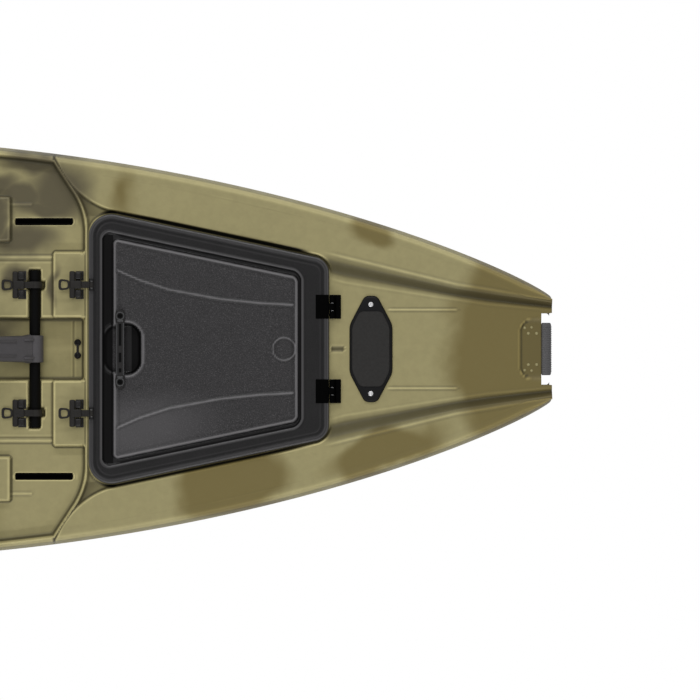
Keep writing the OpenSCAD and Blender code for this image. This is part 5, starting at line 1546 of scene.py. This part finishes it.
class KAYAK_OT_drive(bpy.types.Operator):
    """Visible parts of the pedal drive"""

    bl_idname = "kayak.drive"
    bl_label = "Pedal drive"

    def execute(self, context):
        tilt = Matrix.Rotation(math.radians(DRIVE_TILT), 4, "Y")
        at = Matrix.Translation((PIVOT[0], 0, PIVOT[1])) @ tilt
        self.arm(at)
        self.pedals()
        self.cranks(at)
        self.screw(at)
        return {"FINISHED"}

    def arm(self, at):
        arm = Shape()
        loops = []
        for t in shares(40):
            swell = math.sin(math.pi * t)
            w, h, r = 29.5 - 3.5 * swell + (2 if t == 0 else 0), 13.0 + 1.6 * swell, 7.0
            up = [(w, -h + r), (w, h - r), (w - r * 0.3, h - r * 0.3), (w - r, h), (-w + r, h),
                  (-w + r * 0.3, h - r * 0.3)]
            loops.append([(-17 + CRANK_X * t, y, z) for y, z in up + [(-y, -z) for y, z in up]])
        arm.rings(loops, True, at)
        hub = ((14.6, -29.5), (17.6, -29.5), (19, -28), (19, 28), (17.6, 29.5), (14.6, 29.5), (14.6, -29.5))
        arm.rings([[(x, y, z) for x, z in circle(r, 40)] for r, y in hub], False, at)
        for y in (-20, 20):
            arm.block((-40, y - 2.6, 8), (-14, y + 2.6, 17.4), 1.4, at)
        for y in (-16, 16):
            arm.block((-440, y - 3, 12), (-60, y + 3, 15.6), 1.4, at)
        arm.rod((CRANK_X, 0, -20), (CRANK_X, 0, 20), 34, 3, sides=48, at=at)
        arm.piece("swing_arm", "grey_plastic", "drive_arm", 40, body="drive")

    def pedals(self):
        for word in ("left", "right"):
            node = "pedal_" + word
            low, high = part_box(node)
            x, y, z = (low + high) / 2 / MM
            shape = Shape().rod((x, y - 45, z), (x, y + 45, z), 12.6, 1.0)

            def bar(cx, cy, half_x, half_y, half_z, bevel, segments):
                low = (cx - half_x, cy - half_y, z - half_z)
                shape.block(low, (cx + half_x, cy + half_y, z + half_z), bevel, segments=segments)

            for s in (-1, 1):
                bar(x + s * 40.5, y, 4, 46, 9, 2.5, 3)
                bar(x, y + s * 41, 44, 5, 9, 2.5, 3)
                bar(x + s * 27, y, 3, 44, 6, 1.6, 2)
                for k in range(7):
                    for u in (-1, 1):
                        stud = (x + s * 41, y - 36 + 12 * k)
                        shape.rod((*stud, z + u * 6), (*stud, z + u * 10.2), 1.8, 0.4, sides=10)
            shape.piece("tread_" + word, "black_plastic", node, 40, body=node)

    def cranks(self, at):
        place = at @ Matrix.Translation((CRANK_X, 0, CRANK_Z))
        for word, side in (("left", 1), ("right", -1)):
            shape = Shape()
            y0, y1, end = side * 58, side * 72, -CRANK_LENGTH * side
            loops = []
            for t in shares(24):
                w = 17 - 5.5 * t + (2.5 * max(0, t - 0.8) / 0.2)
                d = 7.0 - 1.2 * math.sin(math.pi * t)
                loops.append([(u, side * 65 + v, end * t) for u, v in bar_section(w, d, 0.8)])
            shape.rings(loops, True, place)
            for z, r in ((0, 18), (end, 14)):
                shape.rod((0, y0, z), (0, y1, z), r, 2.0, at=place)
            shape.rod((0, y1, end), (0, side * 172, end), 6, 0.6, at=place)
            shape.rod((0, y1, 0), (0, side * 75, 0), 9, 1.0, at=place)
            shape.piece("crank_" + word, "black_anodised", "crank_arm_" + word, 35, body="crank")

    def screw(self, at):
        """Two twisted blades with rounded tips on a tapered hub."""
        place = at @ Matrix.Translation((CRANK_X, 0, SCREW_Z))
        shape = Shape()
        hub = ((-104, 17.6), (-108, 18), (-128, 18), (-140, 15.5), (-144, 12))
        shape.rings([[(x, y, z) for y, z in circle(r, 40)] for x, r in hub], True, place)
        for way in (1, -1):
            rows = []
            for t in shares(24):
                chord = (17 + 12 * math.sin(min(1, t / 0.7) * math.pi / 2))
                chord *= math.sqrt(max(0.02, 1 - max(0, (t - 0.55) / 0.46) ** 2.4))
                pitch = math.radians(48 - 30 * t)
                row = []
                for c, s in circle(1, 20):
                    u, v = chord * c, (3.6 - 2.6 * t) * s
                    x = -u * math.sin(pitch) + v * math.cos(pitch)
                    y = u * math.cos(pitch) + v * math.sin(pitch)
                    row.append((-124 + 0.8 * max(min(x, 24), -24), y, way * (12 + 114 * t)))
                rows.append(row)
            shape.rings(rows, True, place)
        shape.piece("screw_blades", "prop_plastic", "propeller", 50, body="propeller")


def pad_mesh(half_u, half_v, edge, crown, channels, nu=72, nv=84):
    """A stuffed pad: crowned top, sides drawn in between the corners, sewn channels and a piped edge."""
    verts = []
    for u in (2 * t - 1 for t in shares(nu)):
        for v in (2 * t - 1 for t in shares(nv)):
            z = edge + crown * math.sqrt(max(0, (1 - u**4) * (1 - v**4)))
            dip = 6.0 * sum(math.exp(-((u - c) / 0.022) ** 2) for c in channels)
            dip += 3.6 * math.exp(-((abs(v) - 0.62) / 0.02) ** 2)
            z -= dip * max(0, 1 - max(abs(u), abs(v)) ** 6)
            x, y = u * half_u * (1 - 0.03 * (1 - v * v)), v * half_v * (1 - 0.03 * (1 - u * u))
            z += 0.6 * noise.noise(Vector((x * 0.02, y * 0.02, 0.3)))
            verts.append((x, y, z))
    faces = grid_faces(nu + 1, nv + 1)
    last = nu * (nv + 1)
    rim = [*range(0, last, nv + 1), *range(last, last + nv)]
    rim += [*range(last + nv, nv, -nv - 1), *range(nv, 0, -1)]
    ring = rim
    for out, share in ((1.004, 0.72), (1.006, 0.45), (1.0, 0.2), (0.985, 0.0)):
        new = [len(verts) + i for i in range(len(rim))]
        verts += [(verts[r][0] * out, verts[r][1] * out, edge * share) for r in rim]
        faces += [(ring[i - 1], ring[i], new[i], new[i - 1]) for i in range(len(rim))]
        ring = new
    faces.append(tuple(ring[::-1]))
    return verts, faces, [Vector((verts[r][0], verts[r][1], edge * 0.86)) for r in rim]


class KAYAK_OT_seat(bpy.types.Operator):
    """Seat and backrest pads in mesh fabric with sewn channels and piping"""

    bl_idname = "kayak.seat"
    bl_label = "Seat"

    def execute(self, context):
        seat_x, pan_z, rail_y, seat_l, back_l = -840.0, 400.0, 240.0, 390.0, 430.0
        flat = Matrix.Translation((seat_x + seat_l / 2 + 14, 0, pan_z + 10.3))
        self.cushion("seat_pad", "seat_cushion", "seat", (seat_l / 2 - 6, rail_y - 18, 14, 16),
                     (-0.5, 0.0, 0.5), flat)
        lean = Matrix.Translation((seat_x, 0, pan_z)) @ Matrix.Rotation(math.radians(-15), 4, "Y")
        lean = lean @ Matrix.Translation((9.3, 0, (back_l + 130) / 2)) @ Matrix.Rotation(math.pi / 2, 4, "Y")
        self.cushion("back_pad", "backrest_cushion", "backrest", ((back_l - 130) / 2 - 2, rail_y, 14, 18),
                     (-0.4, 0.1, 0.55), lean)
        return {"FINISHED"}

    def cushion(self, name, node, body, size, channels, at):
        verts, faces, pts = pad_mesh(*size, channels)
        pad = new_piece(name, [tuple(at @ Vector(v)) for v in verts], faces, FINISH["seat_mesh"])
        sharp_edges(pad, 60)
        settle(pad, body, node)
        up = Vector((0, 0, 1))
        loops = []
        for i, p in enumerate(pts):
            side = (pts[(i + 1) % len(pts)] - pts[i - 1]).normalized().cross(up).normalized()
            loops.append([p + u * side + v * up for u, v in circle(2.2, 10)])
        cord = Shape().rings(loops + loops[:1], False, at)
        cord.piece(name + "_piping", "latch_rubber", smooth_over=70, body=body, slot="seat_mesh")


class KAYAK_OT_rudder(bpy.types.Operator):
    """Rudder blade with its tapered edges, and the steering lever"""

    bl_idname = "kayak.rudder"
    bl_label = "Rudder and lever"

    def execute(self, context):
        px, pz = BLADE_PIVOT
        outline = round_outline([(0, -12), (312, -16), (530, -20), (560, 30), (550, 68), (342, 70), (300, 14),
                                 (0, 12)], 14, 5)
        blade = Shape()
        loops = []
        for inset, y in ((2.2, -4), (0.6, -3.0), (0, -1.2), (0, 1.2), (0.6, 3.0), (2.2, 4)):
            loop = []
            for u, v in outline:
                spine = Vector((min(max(u, 20), 530), 0 if u < 320 else 26))
                d = Vector((u, v)) - spine
                q = spine + d * max(0, 1 - inset / max(d.length, 1))
                loop.append((px + q.x, y, pz + q.y))
            loops.append(loop)
        blade.rings(loops)
        for y in (-4.6, 3.6):
            blade.rod((px, y, pz), (px, y + 1, pz), 12, 0.4)
        blade.piece("blade", "blade_plastic", "rudder_blade", 30, body="rudder_blade")
        x, y, z = LEVER_X, LEVER_Y, TRAY_Z
        lever = Shape().rod((x, y, z + 8.3), (x, y, z + 36), 18, 3.0)
        loops = []
        for t in shares(20):
            section = bar_section(9 - 2.5 * math.sin(math.pi * t), 5.0, 0.7)
            loops.append([(x + 4 + 122 * t, y + u, z + 31 + v) for u, v in section])
        lever.rings(loops)
        knob = ((7, 26), (9.4, 27), (10.4, 32), (8.6, 40), (9.6, 50), (11, 58), (10, 63.5), (6, 65.8))
        lever.lathe([(r, z + h) for r, h in knob], 32, centre=(x + 130, y))
        lever.piece("lever", "black_plastic", "steering_lever", 40, body="steering_lever")
        return {"FINISHED"}


class KAYAK_OT_finishes(bpy.types.Operator):
    """Finishes on every part that keeps its solid's own mesh"""

    bl_idname = "kayak.finishes"
    bl_label = "Finishes"

    def execute(self, context):
        slots = {s["node"]: s["material_slot"] for s in frame["record"]["subparts"]}
        slots.update(lid_hinge_leaves="hinge_black", gear_tracks="hinge_black", drive_tube="tube_black")
        for name, obj in NODES.items():
            obj.data.materials.clear()
            obj.data.materials.append(FINISH[slots[name]])
        return {"FINISHED"}


class KAYAK_PT_panel(bpy.types.Panel):
    """Buttons for the pieces of the kayak"""

    bl_label = "Kayak"
    bl_idname = "KAYAK_PT_panel"
    bl_space_type = "VIEW_3D"
    bl_region_type = "UI"
    bl_category = "Kayak"

    def draw(self, context):
        for op in STEPS:
            self.layout.operator(op.bl_idname)
        for name in GROUPS:
            box = self.layout.box()
            data = getattr(context.scene, name)
            for key in data.__annotations__:
                box.prop(data, key)


STEPS = (KAYAK_OT_stage, KAYAK_OT_finishes, KAYAK_OT_deck, KAYAK_OT_hull, KAYAK_OT_hatch_lid,
         KAYAK_OT_lid_handle, KAYAK_OT_latches, KAYAK_OT_deck_fittings, KAYAK_OT_bow_handle, KAYAK_OT_drive,
         KAYAK_OT_seat, KAYAK_OT_rudder)
GROUPS = {"kayak_stage": KAYAK_PG_stage, "kayak_finish": KAYAK_PG_finish, "kayak_lid": KAYAK_PG_lid}
CLASSES = (*GROUPS.values(), *STEPS, KAYAK_PT_panel)


def register():
    for cls in CLASSES:
        bpy.utils.register_class(cls)
    for name, group in GROUPS.items():
        setattr(bpy.types.Scene, name, bpy.props.PointerProperty(type=group))


def unregister():
    for name in GROUPS:
        delattr(bpy.types.Scene, name)
    for cls in reversed(CLASSES):
        bpy.utils.unregister_class(cls)


def main():
    register()
    FINISH.update(finishes())
    for op in STEPS:
        group, name = op.bl_idname.split(".")
        getattr(getattr(bpy.ops, group), name)()


if __name__ == "__main__":
    main()
